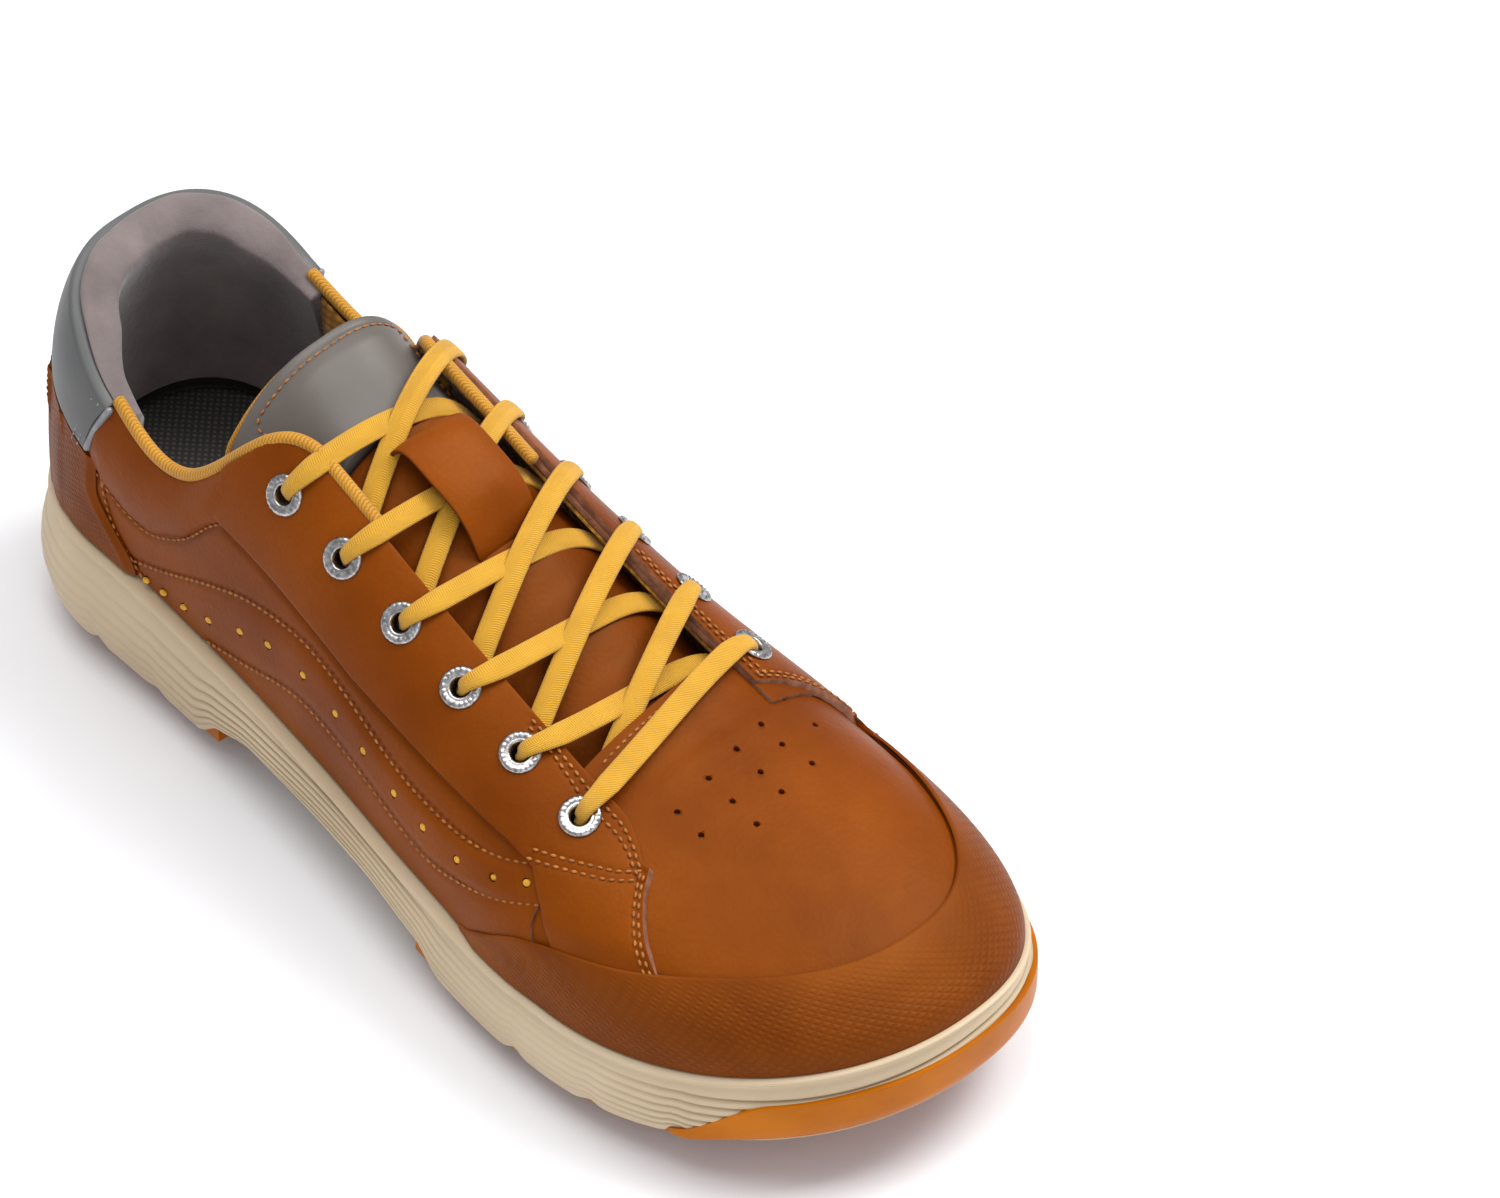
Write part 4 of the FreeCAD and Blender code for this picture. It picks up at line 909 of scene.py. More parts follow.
# %% Relief lines of the quarters
COLLAR_SEAM = [(0.086, 0.19), (0.103, 0.13), (0.118, 0.11), (0.131, 0.12), (0.148, 0.18), (0.161, 0.27),
               (0.172, 0.335), (0.183, 0.385)]
BAND_TOP = [(0.112, 0.012), (0.136, 0.06), (0.161, 0.13), (0.185, 0.20), (0.211, 0.255), (0.228, 0.265),
            (0.242, 0.262), (0.264, 0.25), (0.281, 0.255), (0.300, 0.28), (0.314, 0.32), (0.325, 0.37),
            (0.334, 0.43)]
BAND_LOW = [(0.160, 0.008), (0.183, 0.04), (0.206, 0.09), (0.219, 0.11), (0.236, 0.115), (0.256, 0.11),
            (0.275, 0.10), (0.292, 0.10), (0.308, 0.14), (0.328, 0.23), (0.344, 0.34)]
DOTS = [(0.126, 0.012), (0.136, 0.02), (0.148, 0.032), (0.163, 0.06), (0.181, 0.11), (0.197, 0.155),
        (0.217, 0.185), (0.236, 0.19), (0.253, 0.188), (0.272, 0.183), (0.289, 0.19), (0.308, 0.22),
        (0.325, 0.295), (0.337, 0.375)]
COUNTER_SEAM = [(0.101, 0.20), (0.102, 0.12), (0.109, 0.05), (0.124, 0.006)]
STAY_LOW = {-1: [(v_at(-66), 0.31), (v_at(-40), 0.325), (v_at(-10), 0.335), (v_at(20), 0.38),
                 (v_at(48), 0.43), (0.337, 0.43), (0.348, 0.34), (0.358, 0.22), (0.372, 0.25),
                 (0.387, 0.30), (0.404, 0.34)],
            1: [(v_at(-72), 0.31), (v_at(-40), 0.325), (v_at(-10), 0.335), (v_at(20), 0.37),
                (v_at(48), 0.40), (0.345, 0.37), (0.368, 0.28)]}


def for_side(places, side):
    """The same line on the outer or the inner side."""
    return [(side * v, t) for v, t in places]


EYELET_COUNT = 6
EYELET_INSET = 7.8
EYELET_HOLE, EYELET_PUNCH = 3.15, 12.0
DOT_RADIUS, DOT_PUNCH = 1.15, 7.0


def eyelet_spot(side, i):
    """Centre on the last and outward direction of an eyelet, counted from the toe."""
    share = i / (EYELET_COUNT - 1)
    x = mix(57.0, -45.0, share) if side < 0 else mix(46.0, -54.5, share)
    y = float(throat_edge(side, x)) + side * EYELET_INSET
    return crown(x, y), crown_normal(x, y)


# %% Quarters
def quarter_relief(side, u, t, surface):
    """Height of the padding, the band and the pressed seams over a quarter."""
    v = np.abs(u)
    seam_t = np.interp(v, [p[0] for p in COLLAR_SEAM], [p[1] for p in COLLAR_SEAM])
    top_t = topline(u)
    share = np.clip((t - seam_t) / np.maximum(0.02, top_t - seam_t), 0, 1)
    ends = np.clip((v - 0.086) / 0.015, 0, 1) * np.clip((0.192 - v) / 0.03, 0, 1)
    puff = 2.6 * np.sin(math.pi * share**0.8)**0.8 * ends
    seam, _ = seam_line(for_side(COLLAR_SEAM, side), 0)
    relief = puff + groove(surface, seam, 0.7, 1.5)
    band_top, _ = seam_line(for_side(BAND_TOP, side), 0)
    band_low, _ = seam_line(for_side(BAND_LOW, side), 0)
    high = np.interp(v, [p[0] for p in BAND_TOP], [p[1] for p in BAND_TOP])
    low = np.interp(v, [p[0] for p in BAND_LOW], [p[1] for p in BAND_LOW])
    inside = np.clip((high - t) / 0.04, 0, 1) * np.clip((t - low) / 0.04, 0, 1)
    inside *= np.clip((v - 0.13) / 0.03, 0, 1) * np.clip((0.34 - v) / 0.02, 0, 1)
    relief += 0.7 * inside + groove(surface, band_top, 0.5, 1.1) + groove(surface, band_low, 0.5, 1.1)
    stay_v = np.linspace(v_at(-60), v_at(50), 120)
    stay_line = last(side * stay_v, np.interp(stay_v, *np.array(STAY_LOW[side]).T) - 0.012)
    relief += groove(surface, stay_line, 0.7, 1.3)
    counter, _ = seam_line(for_side(COUNTER_SEAM, side), 0)
    return relief + groove(surface, counter, 0.4, 1.0)


for side, word in ((-1, "lateral"), (1, "medial")):
    a, b = spaced(250, 70)
    front = mix(0.362, v_at(THROAT_FRONT), ease(b / 0.4))
    u = side * mix(0.002, front, a)
    under_cuff = 0.06 * ease((0.106 - np.abs(u)) / 0.008)
    t = mix(FOOT, topline(u) - under_cuff, b)
    surface = last(u, t)
    normals = last_normal(u, t)
    relief = quarter_relief(side, u, t, surface) + 0.75 * ease((np.abs(u) - 0.30) / 0.03)
    quarter = grid_piece("quarter_%s_leather" % word, surface + normals * relief[..., None], normals,
                         wall=LEATHER, skins=(tan_leather, raw_edge))
    dots = [(last(side * v, dt), last_normal(side * v, dt)) for v, dt in DOTS]
    punch(quarter, dots, DOT_RADIUS, DOT_PUNCH)
    punch(quarter, [eyelet_spot(side, i) for i in range(EYELET_COUNT)], EYELET_HOLE, EYELET_PUNCH)
    finish_piece(quarter, "root", "leather_tan", replaces=("quarter_" + word,))
    for places, depth in ((COLLAR_SEAM, 0.15), (BAND_TOP, 0.2), (BAND_LOW, 0.2), (COUNTER_SEAM, 0.1)):
        sew(brown_rows, *seam_line(for_side(places, side), depth))

# %% [markdown]
# The perforations show a yellow layer under the leather. Each gets a small domed
# button of that layer inside its hole, longer towards the heel where the leather is
# stretched along the band.

# %% Yellow buttons in the perforations
BUTTON_LONG, BUTTON_WIDE, BUTTON_HIGH, BUTTON_RISE = 1.12, 1.05, 0.75, 0.3

for side, word in ((-1, "lateral"), (1, "medial")):
    form = bmesh.new()
    line, _ = seam_line(for_side(DOTS, side), 0.25)
    for v, dt in DOTS:
        place = last(side * v, dt)
        upward = last_normal(side * v, dt)
        nearest = int(np.argmin(((line - place)**2).sum(1)))
        near, far = max(0, nearest - 2), min(len(line) - 1, nearest + 2)
        forward = unit(line[far] - line[near])
        stretch = 1.5 if v < 0.2 else 1.15
        small = 0.72 if v < 0.15 else 0.92
        size = (BUTTON_LONG * stretch * small, BUTTON_WIDE * small, BUTTON_HIGH)
        matrix = turned(place + upward * BUTTON_RISE, forward, upward, size)
        bmesh.ops.create_uvsphere(form, u_segments=16, v_segments=8, radius=1.0, matrix=matrix)
    buttons = form_piece("perforation_buttons_" + word, form)
    finish_piece(buttons, "root", "mesh_yellow", button_yellow)

# %% [markdown]
# ## Eyestays
# The eyestays carry the eyelets along both sides of the throat. They are a second
# layer on the quarters with a folded lower edge and a cut, pinkish front edge that is
# sewn down twice before it meets the toe cap.

# %% Eyestays
STAY_START = {-1: v_at(-64.0), 1: v_at(-70.0)}
STAY_NOSE = {-1: (0.404, 0.374), 1: (0.368, 0.336)}
NOSE_CURVE = {-1: 0.9, 1: 0.45}


def stay_top(side, v):
    """Inner edge: the throat's edge, then a short run forward to the front corner."""
    throat = topline(side * np.minimum(v, v_at(THROAT_FRONT)))
    corner = 0.07 if side < 0 else 0.0
    return throat - corner * ease((v - v_at(THROAT_FRONT)) / 0.027)


def stay_place(side, a, b):
    """Perimeter value and section share of a place on an eyestay."""
    nose_low, nose_top = STAY_NOSE[side]
    low_v = mix(STAY_START[side], nose_low, a)
    top_v = mix(STAY_START[side], nose_top, a)
    low_t = np.interp(low_v, *np.array(STAY_LOW[side]).T)
    v = mix(low_v, top_v, b**NOSE_CURVE[side])
    return side * v, mix(low_t, stay_top(side, top_v), b)


def stay_lift(u, t):
    """The facing sinks to slip under the toe cap."""
    over_cap = (t - cap_line(u)) / 0.10
    return mix(0.75, COVER_TOP, np.where(np.abs(u) > v_at(40), ease(over_cap), 1.0))


for side, word in ((-1, "lateral"), (1, "medial")):
    a, b = spaced(230, 56)
    u, t = stay_place(side, a, b)
    surface = last(u, t)
    normals = last_normal(u, t)
    lift = stay_lift(u, t) + folded(1 - b, 34.0, 0.8) + 0.4 * np.sin(math.pi * b)**0.6
    rows = []
    for inset in (0.010, 0.021):
        k = np.linspace(0.10, 0.94, 70)
        edge_u, edge_t = stay_place(side, np.full_like(k, 1 - inset), k)
        rows.append((edge_u, edge_t))
    for inset in (0.055, 0.115):
        k = np.linspace(0.66, 0.985, 150)
        edge_u, edge_t = stay_place(side, k, np.full_like(k, 1 - inset))
        rows.append((edge_u, edge_t))
    cross = [0.44, 0.475] if side < 0 else []
    for level in cross:
        k = np.linspace(0, 1, 50)
        edge_v = mix(v_at(53.0), 0.3735, k)
        rows.append((side * edge_v, level + 0.19 * k))
    for edge_u, edge_t in rows:
        edge_normals = last_normal(edge_u, edge_t)
        spots = last(edge_u, edge_t)
        lift = lift + groove(surface, spots, 0.3, 0.8)
        height = stay_lift(edge_u, edge_t) + 0.38
        sew(brown_rows, spots + edge_normals * height[:, None], edge_normals)
    stay = grid_piece("eyestay_%s_leather" % word, surface + normals * lift[..., None], normals,
                      wall=LEATHER + 0.5, rounding=0.2, skins=(tan_leather, raw_edge))
    punch(stay, [eyelet_spot(side, i) for i in range(EYELET_COUNT)], EYELET_HOLE, EYELET_PUNCH)
    finish_piece(stay, "root", "leather_tan", replaces=("eyestay_" + word,))

# %% [markdown]
# ## Heel cover and cuff
# Low at the back, an embossed cover protects the counter. Raised loops sweep back
# over it like a leaf. Above it the smooth grey cuff carries on to the topline and
# turns in over the padding.

# %% Heel counter cover
CUFF_LOW = [(0, 79), (0.05, 76), (v_at(-108), 66), (v_at(-95), 61)]
CUFF_FRONT = (0.094, v_at(-104))


def round_heel(a, end):
    return mix(-end, end, a)


def cuff_line(u):
    return t_at_height(u, along(CUFF_LOW, np.abs(u)))


def heel_loops(u, t):
    """Relief of the curved loops on each side of the heel."""
    v = np.abs(u)
    relief = np.zeros_like(v)
    for reach, lift, swing in ((0.034, 0.0, 0.30), (0.050, 0.02, 0.38), (0.066, 0.045, 0.47)):
        centre = 0.012
        k = np.clip((v - centre) / reach, -0.2, 1.0)
        ridge_t = 0.03 + lift + swing * np.sqrt(np.maximum(0, 1 - k**2)) * 0.9
        on = np.clip((v - 0.006) / 0.006, 0, 1) * np.clip((centre + reach * 0.985 - v) / 0.004, 0, 1)
        relief += on * (0.9 * np.exp(-((t - ridge_t) / 0.016)**2) + 0.35 * (t < ridge_t))
    return relief


a, b = spaced(230, 60)
end = mix(v_at(-94), CUFF_FRONT[0] + 0.005, ease(b * 1.6))
u = round_heel(a, end)
t = mix(FOOT, cuff_line(u) - 0.01, b)
surface = last(u, t)
normals = last_normal(u, t)
edge_gap = np.minimum(a, 1 - a) * 190
lift = mix(0.55, COVER_TOP, ease(edge_gap / 4)) + heel_loops(u, t)
fade = np.clip((edge_gap - 2) / 6, 0, 1) * np.clip((1 - b) * 12, 0, 1)
counter = grid_piece("heel_cover_leather", surface + normals * lift[..., None], normals, wall=LEATHER,
                     rounding=0.25, marks={"emboss": fade})
finish_piece(counter, "root", "leather_textured", textured_leather, fold_leather,
             replaces=("heel_counter_cover",))

a, b = spaced(200, 36)
end = mix(CUFF_FRONT[0], CUFF_FRONT[1], b)
u = round_heel(a, end)
t = mix(cuff_line(u), topline(u), b)
surface = last(u, t)
normals = last_normal(u, t)
lift = COVER_TOP + 0.5 + 0.8 * np.sin(math.pi * b)**0.7 + folded(b, 30, 2.6) + folded(1 - b, 30, 0.8)
cuff = grid_piece("collar_cuff_shell", surface + normals * lift[..., None], normals, wall=2.0)
finish_piece(cuff, "root", "leather_grey", cuff_grey, replaces=("collar_cuff",))
rim_u = np.linspace(-0.096, 0.096, 150)
rim_t = topline(rim_u) - 0.028
rim_normals = last_normal(rim_u, rim_t)
sew(grey_rows, last(rim_u, rim_t) + rim_normals * (COVER_TOP + 0.75), rim_normals, 2.0, 0.22)

# %% [markdown]
# Each front end of the cuff is bound with silver piping and two rows of fine stitches.
# A tube along a line is a round grid that is swept, so one helper serves every piping.

# %% Piping helper
def swept(name, line, normals, radius_up, radius_side, segments=12, merge=True):
    """Closed tube along a line; the ends shrink to a rounded tip."""
    forward = unit(np.gradient(line, axis=0))
    sideways = unit(np.cross(normals, forward))
    upward = np.cross(forward, sideways)
    count = len(line)
    place = np.arange(count)
    tip = np.minimum(place, count - 1 - place) / 2.0
    taper = np.sqrt(np.clip(1 - (1 - np.clip(tip, 0, 1))**2, 0.0, 1))
    angle = np.linspace(0, 2 * math.pi, segments + 1)
    angle[-1] = angle[0]
    up_part = np.cos(angle)[None, :, None] * (radius_up * taper)[:, None, None] * upward[:, None]
    side_part = np.sin(angle)[None, :, None] * (radius_side * taper)[:, None, None] * sideways[:, None]
    points = line[:, None] + up_part + side_part
    return grid_piece(name, points, merge=merge)


for side, word in ((-1, "lateral"), (1, "medial")):
    k = np.linspace(0, 1, 26)
    v = mix(CUFF_FRONT[0], CUFF_FRONT[1], k) + 0.001
    t = mix(cuff_line(side * v), topline(side * v), k)
    normals = last_normal(side * v, t)
    trim = swept("cuff_piping_" + word, last(side * v, t) + normals * 1.7, normals, 1.2, 1.0)
    finish_piece(trim, "root", "leather_grey", silver_piping)
    for inset in (0.0045, 0.0085):
        rows = last(side * (v - inset), t), last_normal(side * (v - inset), t)
        sew(grey_rows, rows[0] + rows[1] * (COVER_TOP + 1.0), rows[1], 1.9, 0.22)

# %% [markdown]
# ## Collar lining
# Inside the heel a thick brushed lining is stuffed with foam. It rolls out over the
# topline, is fullest just below it and thins towards the insole and the front ends.
# Its section is drawn as a loop of depths, and the loop is swept round the heel.

# %% Padded collar
PAD_END = v_at(-99)
PAD_LOOP = [(0.0, 0.05, -3.4), (0.14, 0.55, -3.3), (0.28, 0.95, -1.6), (0.36, 1.03, -0.1),
            (0.42, 1.075, -1.4), (0.5, 1.085, -5.2), (0.58, 1.04, -8.8), (0.66, 0.93, -10.2),
            (0.78, 0.62, -8.4), (0.9, 0.2, -8.2), (1.0, 0.05, -8.4)]

a, b = spaced(150, 64)
u = mix(-PAD_END, PAD_END, a)
fullness = 0.35 + 0.65 * ease((PAD_END - np.abs(u)) / 0.04)
height = along([(p[0], p[1]) for p in PAD_LOOP], b)
depth = along([(p[0], p[2]) for p in PAD_LOOP], b)
top_t = topline(u)
t = np.clip(top_t * np.minimum(height, 1.0), 0.01, 0.97)
over = np.maximum(0, height - 1.0) * 26 * fullness
depth = np.where(depth < -3.4, -3.4 + (depth + 3.4) * fullness, depth)
surface = last(u, t) + last_normal(u, t) * depth[..., None]
surface[..., 2] += over
soft = 0.25 * np.sin(u * 90) * np.sin(b * math.pi)**2
soft = soft + 0.12 * np.sin(u * 210 + 2.0) * np.sin(b * math.pi)**3
surface += last_normal(u, t) * soft[..., None]
collar = grid_piece("collar_pad", surface, merge=False)
weld(collar.data)
close_ends(collar.data)
finish_piece(collar, "root", "lining_grey", lining_suede, replaces=("collar_lining",))

# %% [markdown]
# In front of the collar the side lining is a yellow quilted mesh. It is lightly padded
# under the ankle, and it carries on forward under the facing to the toes.

# %% Mesh lining
LINING_DEPTH = -2.8

for side, word in ((-1, "lateral"), (1, "medial")):
    a, b = spaced(150, 40)
    v = mix(v_at(-104.0), v_at(THROAT_FRONT), a)
    u = side * v
    t = mix(FOOT, topline(u) - 0.006, b)
    cushion = ease((v - 0.102) / 0.02) * ease((v_at(-58) - v) / 0.03)
    depth = LINING_DEPTH - 3.2 * cushion * np.sin(math.pi * np.clip((b - 0.45) / 0.55, 0, 1))**0.7
    normals = last_normal(u, t)
    lining = grid_piece("mesh_lining_" + word, last(u, t) + normals * depth[..., None], -normals, wall=0.9)
    punch(lining, [eyelet_spot(side, i) for i in range(EYELET_COUNT)], EYELET_HOLE, EYELET_PUNCH)
    finish_piece(lining, "root", "mesh_yellow", yellow_mesh, replaces=("quarter_lining_" + word,))

# %% [markdown]
# The yellow lining turns over the topline from the cuff to the eyestay and on along the
# throat's edge. It shows as a soft rolled piping about three millimetres wide.

# %% Yellow piping of the topline
PIPE_STATIONS = {-1: (-105.0, -22.0), 1: (-105.0, -16.0)}
PIPE_SMOOTHING = 14

for side, word in ((-1, "lateral"), (1, "medial")):
    rear, front = PIPE_STATIONS[side]
    v = v_at(np.linspace(rear, front, 150))
    t = topline(side * v)
    normals = last_normal(side * v, t)
    upward = -side * unit(np.cross(normals, unit(np.gradient(last(side * v, t), axis=0))))
    raised = np.clip((v - v_at(-64)) / 0.02, 0, 1)[:, None]
    beside = mix(0.9, 1.7, raised) if side > 0 else 0.9
    height = mix(-0.9, 0.9 if side < 0 else -0.4, raised)
    line = last(side * v, t) + normals * height + upward * beside
    for _ in range(PIPE_SMOOTHING):
        line[1:-1] = 0.5 * line[1:-1] + 0.25 * (line[:-2] + line[2:])
        normals[1:-1] = unit(0.5 * normals[1:-1] + 0.25 * (normals[:-2] + normals[2:]))
    trim = swept("topline_piping_" + word, line, normals, 1.7, 1.7)
    finish_piece(trim, "root", "mesh_yellow", piping_twill)

# %% [markdown]
# ## Tongue
# The tongue is a padded slab under the laces, brown in front and grey on top. It is
# fuller between the laces and thin at its edges. The grey top bends back when the
# foot goes in; it is a separate pillow that leans, its inner side standing higher.

# %% Tongue
TONGUE_SEAM, TONGUE_BEND, TONGUE_END, TONGUE_FRONT = -40.0, -61.0, -84.0, 56.0
TONGUE_HALF = [(-84, 26), (-61, 27), (0, 28), (60, 24)]
TONGUE_RISE = [(-84, -7), (-61, -3.5), (-40, 0), (60, 0)]
TONGUE_DEPTH, TONGUE_DROP, TONGUE_THICK = 7.6, 4.0, 4.5
LACE_ROWS = [mix(51.5, -49.7, i / (EYELET_COUNT - 1)) for i in range(EYELET_COUNT)]


def tongue_surface(x, across):
    """Top of the tongue: across is -1 to 1 from edge to edge."""
    y = along(SPINE, x) + along(TONGUE_HALF, x) * across
    top = crown(x, y)[..., 2] - TONGUE_DEPTH - TONGUE_DROP * across**2 + along(TONGUE_RISE, x)
    return np.stack([x, y, top], axis=-1)


def tongue_run(a, across, rear, front, skew):
    """Station along a tongue piece; a skewed rear edge fades out towards the front."""
    return mix(rear, front, a) + skew(across) * (1 - a)**1.4


def no_skew(across):
    return 0.0 * across


def rear_skew(across):
    """The rear edge is cut square on the outer side and slants forward on the inner side."""
    return 15.0 + 4.0 * across - 1.0 * across**2


def tongue_tilt(x, across):
    """The loose top of the tongue leans, so its inner side stands higher."""
    return (7.0 * (across + 0.15) + 5.0 * np.maximum(0, across)**1.5) * ease((-42 - x) / 30)


def tongue_pillow(name, rear, front, columns, fullness, skew=no_skew):
    """Closed pillow: the loop goes over the top and back along the underside."""
    a, b = spaced(columns, 72)
    loop = 2 * math.pi * b
    across = -np.cos(loop)
    half = np.sin(loop)
    run = tongue_run(a, across, rear, front, skew)
    end = np.minimum(a, 1 - a) * (front - rear)
    closing = np.sqrt(np.clip(1 - (1 - np.clip(end / 2.2, 0, 1))**2, 0.0, 1))
    points = tongue_surface(run, across)
    thick = TONGUE_THICK * 0.5
    puff = np.where(half > 0, fullness(a, across, run), 0)
    edge = np.abs(half)**0.55 * np.sign(half)
    points[..., 2] += tongue_tilt(run, across) * (skew is rear_skew) - thick
    points[..., 2] += (thick * edge + puff * np.clip(half, 0, 1)**0.7) * closing
    return grid_piece(name, points, merge=True)


def brown_puffs(a, across, x):
    """Soft pillows between the lace rows."""
    wave = np.zeros_like(x)
    for row in LACE_ROWS:
        wave -= np.exp(-((x - row) / 4.5)**2)
    return 0.9 + 0.9 * wave * (1 - 0.5 * across**2)


STITCH_ACROSS = 0.78
STITCH_BACK = 0.15


def grey_puff(a, across, x):
    """Padding of the tongue's top, held down along the stitched line near its edge."""
    inset = np.minimum((STITCH_ACROSS - np.abs(across)) * 28, (a - STITCH_BACK) * 44)
    return 0.9 + 0.9 * ease(inset / 9.0) - 0.7 * np.exp(-(inset / 1.1)**2)


brown_tongue = tongue_pillow("tongue_leather_pad", TONGUE_SEAM + 0.3, TONGUE_FRONT, 110, brown_puffs)
finish_piece(brown_tongue, "root", "leather_tan", tongue_leather, replaces=("tongue",))

grey_tongue = tongue_pillow("tongue_grey_pad", TONGUE_END, TONGUE_SEAM, 70, grey_puff, rear_skew)
grey_tongue.data.materials.append(tongue_grey)
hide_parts("tongue_panel", "tongue_top")
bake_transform(grey_tongue)

# %% [markdown]
# A brown line of stitches runs six millimetres inside the grey edge, and a thin yellow
# binding closes the edge itself. Both cross the bend and follow the grey top's lean.

# %% Tongue stitching and binding
def tongue_rim(across_limit, back, lift, padded=True):
    """Line up one side of the grey tongue, round its rear edge and down the other side."""
    sides = np.linspace(0.97, back, 60)
    turn = np.linspace(0, 0.5 * math.pi, 12)[1:-1]
    corner = 0.10
    a = np.concatenate([sides[:-6], back + corner * (1 - np.sin(turn)), np.full(60, back)])
    across = np.concatenate([np.full(54, -1.0), -1 + corner * (1 - np.cos(turn)), np.linspace(-0.9, 0, 60)])
    a = np.concatenate([a, a[::-1][1:]])
    across = np.concatenate([across, -across[::-1][1:]]) * across_limit
    run = tongue_run(a, across, TONGUE_END, TONGUE_SEAM, rear_skew)
    points = tongue_surface(run, across)
    points[:, 2] += tongue_tilt(run, across) + lift
    if padded:
        points[:, 2] += grey_puff(a, across, run) * (1 - across**2)**0.35
    return points, np.tile([0.0, 0.0, 1.0], (len(points), 1))


rim_form = bmesh.new()
sew(rim_form, *tongue_rim(STITCH_ACROSS, STITCH_BACK, 0.1), 2.4, 0.34)
tongue_stitches = form_piece("tongue_stitching", rim_form)
tongue_stitches.data.materials.append(thread_brown)
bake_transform(tongue_stitches)

binding_line, binding_up = tongue_rim(0.99, 0.012, -2.0, padded=False)
binding = swept("tongue_binding", binding_line, binding_up, 1.2, 0.9)
binding.data.materials.append(piping_twill)
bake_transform(binding)

# %% [markdown]
# The lace keeper is a strap that is sewn down at its two ends. The laces of the fourth
# and fifth rows pass under its arch, which keeps the tongue from sliding sideways.

# %% Lace keeper
KEEPER_REAR, KEEPER_FRONT, KEEPER_HALF, KEEPER_LIFT = -35.0, -4.0, 10.5, 9.6

a, b = spaced(60, 26)
run = 2 * a - 1
x = mix(KEEPER_REAR, KEEPER_FRONT, a)
across = 2 * b - 1
y = along(SPINE, x) + KEEPER_HALF * across * (1 - 0.06 * run**2)
surface = crown(x, y)
surface[..., 2] += -TONGUE_DEPTH + 0.3 + 1.2 + KEEPER_LIFT * (1 - run**4) - 0.5 * across**4
upward = np.tile([0.0, 0.0, 1.0], (*x.shape, 1))
keeper = grid_piece("lace_keeper_strap", surface, upward, wall=1.2, rounding=0.4)
finish_piece(keeper, "root", "leather_tan", tan_leather, fold_leather, replaces=("lace_keeper",))

# %% [markdown]
# ## Eyelets
# Each eyelet is a pressed ring with a knurled rim round a dark hole. Spinning a small
# profile gives the ring, and every third step of its rim is lifted to make
# the pattern. One ring is made and copied by matrix to all twelve places.

# %% Eyelets
RING_STEPS = 64
RING_PROFILE = [(2.35, -3.4), (2.35, 0.1), (2.55, 0.55), (2.95, 0.78), (3.25, 0.62), (3.45, 0.72),
                (4.2, 0.86), (4.75, 0.72), (5.1, 0.3), (5.1, 0.0), (3.05, -0.1), (3.05, -3.4)]


def add_ring(form, matrix):
    verts = [form.verts.new((radius * MM, 0, height * MM)) for radius, height in RING_PROFILE]
    edges = [form.edges.new(pair) for pair in zip(verts, verts[1:] + verts[:1])]
    spun = bmesh.ops.spin(form, geom=verts + edges, cent=(0, 0, 0), axis=(0, 0, 1), angle=2 * math.pi,
                          steps=RING_STEPS, use_merge=True)
    ring = {vert for vert in form.verts if vert.tag is False}
    for vert in ring:
        radius = math.hypot(vert.co.x, vert.co.y) / MM
        if 3.6 < radius < 4.9:
            step = round(math.atan2(vert.co.y, vert.co.x) / (2 * math.pi) * RING_STEPS)
            vert.co.z += (0.16 if step % 3 == 0 else -0.08) * MM
    for vert in ring:
        vert.co = matrix @ vert.co
        vert.tag = True
    return spun


for side, word in ((-1, "lateral"), (1, "medial")):
    form = bmesh.new()
    for i in range(EYELET_COUNT):
        centre, normal = eyelet_spot(side, i)
        turn = Vector(normal).to_track_quat("Z", "Y").to_matrix().to_4x4()
        add_ring(form, Matrix.Translation(Vector(centre + normal * (COVER_TOP + 0.35)) * MM) @ turn)
    bmesh.ops.remove_doubles(form, verts=form.verts, dist=0.000005)
    rings = form_piece("eyelet_rings_" + word, form)
    finish_piece(rings, "root", "eyelet_metal", eyelet_nickel, replaces=("eyelets_" + word,))

# %% [markdown]
# ## Shoelace
# The lace is one flat woven band through all twelve eyelets. Its route is a list of
# bends, joined by a NURBS curve. The band follows points that are read back from that
# curve, and it turns to lie flat on the shoe and narrows where it enters an eyelet.

# %% Lace route
LACE_OVER = COVER_TOP + 1.1 + 1.1 + 0.4
LACE_UNDER = -2.8 - 1.1 - 0.8


def lace_station(side, i, depth, inward, ahead=0.0):
    centre, _ = eyelet_spot(side, i)
    x, y = centre[0] + ahead, centre[1] - side * inward
    return crown(x, y) + crown_normal(x, y) * depth


def strand(side, i):
    """From inside one eyelet, out past its facing edge and over to the next row."""
    edge = lace_station(side, i, LACE_UNDER, EYELET_INSET + 2.5, -4.0)
    rim = lace_station(-side, i + 1, LACE_OVER - 0.4, EYELET_INSET, 4.0)
    middle = (edge + rim) / 2
    middle[2] = crown(middle[0], middle[1])[2] + (-0.6 if side < 0 else -3.3)
    start = lace_station(side, i, LACE_UNDER, 0)
    return [start, edge, middle, rim, lace_station(-side, i + 1, LACE_OVER, 0)]


def tail(side):
    """The end that drops down inside the quarter after the last eyelet."""
    centre, _ = eyelet_spot(side, EYELET_COUNT - 1)
    points = [lace_station(side, EYELET_COUNT - 1, LACE_UNDER, 0)]
    for ahead, drop in ((-4.0, 0.09), (-8.0, 0.19), (-11.0, 0.30)):
        u = side * v_at(centre[0] + ahead)
        t = t_at_y(u, centre[1]) - drop
        points.append(last(u, t) + last_normal(u, t) * (LACE_UNDER - 1.4))
    return points


def climb(side):
    points = []
    for i in range(EYELET_COUNT - 1):
        points += strand(side, i)
        side = -side
    return points + tail(side)


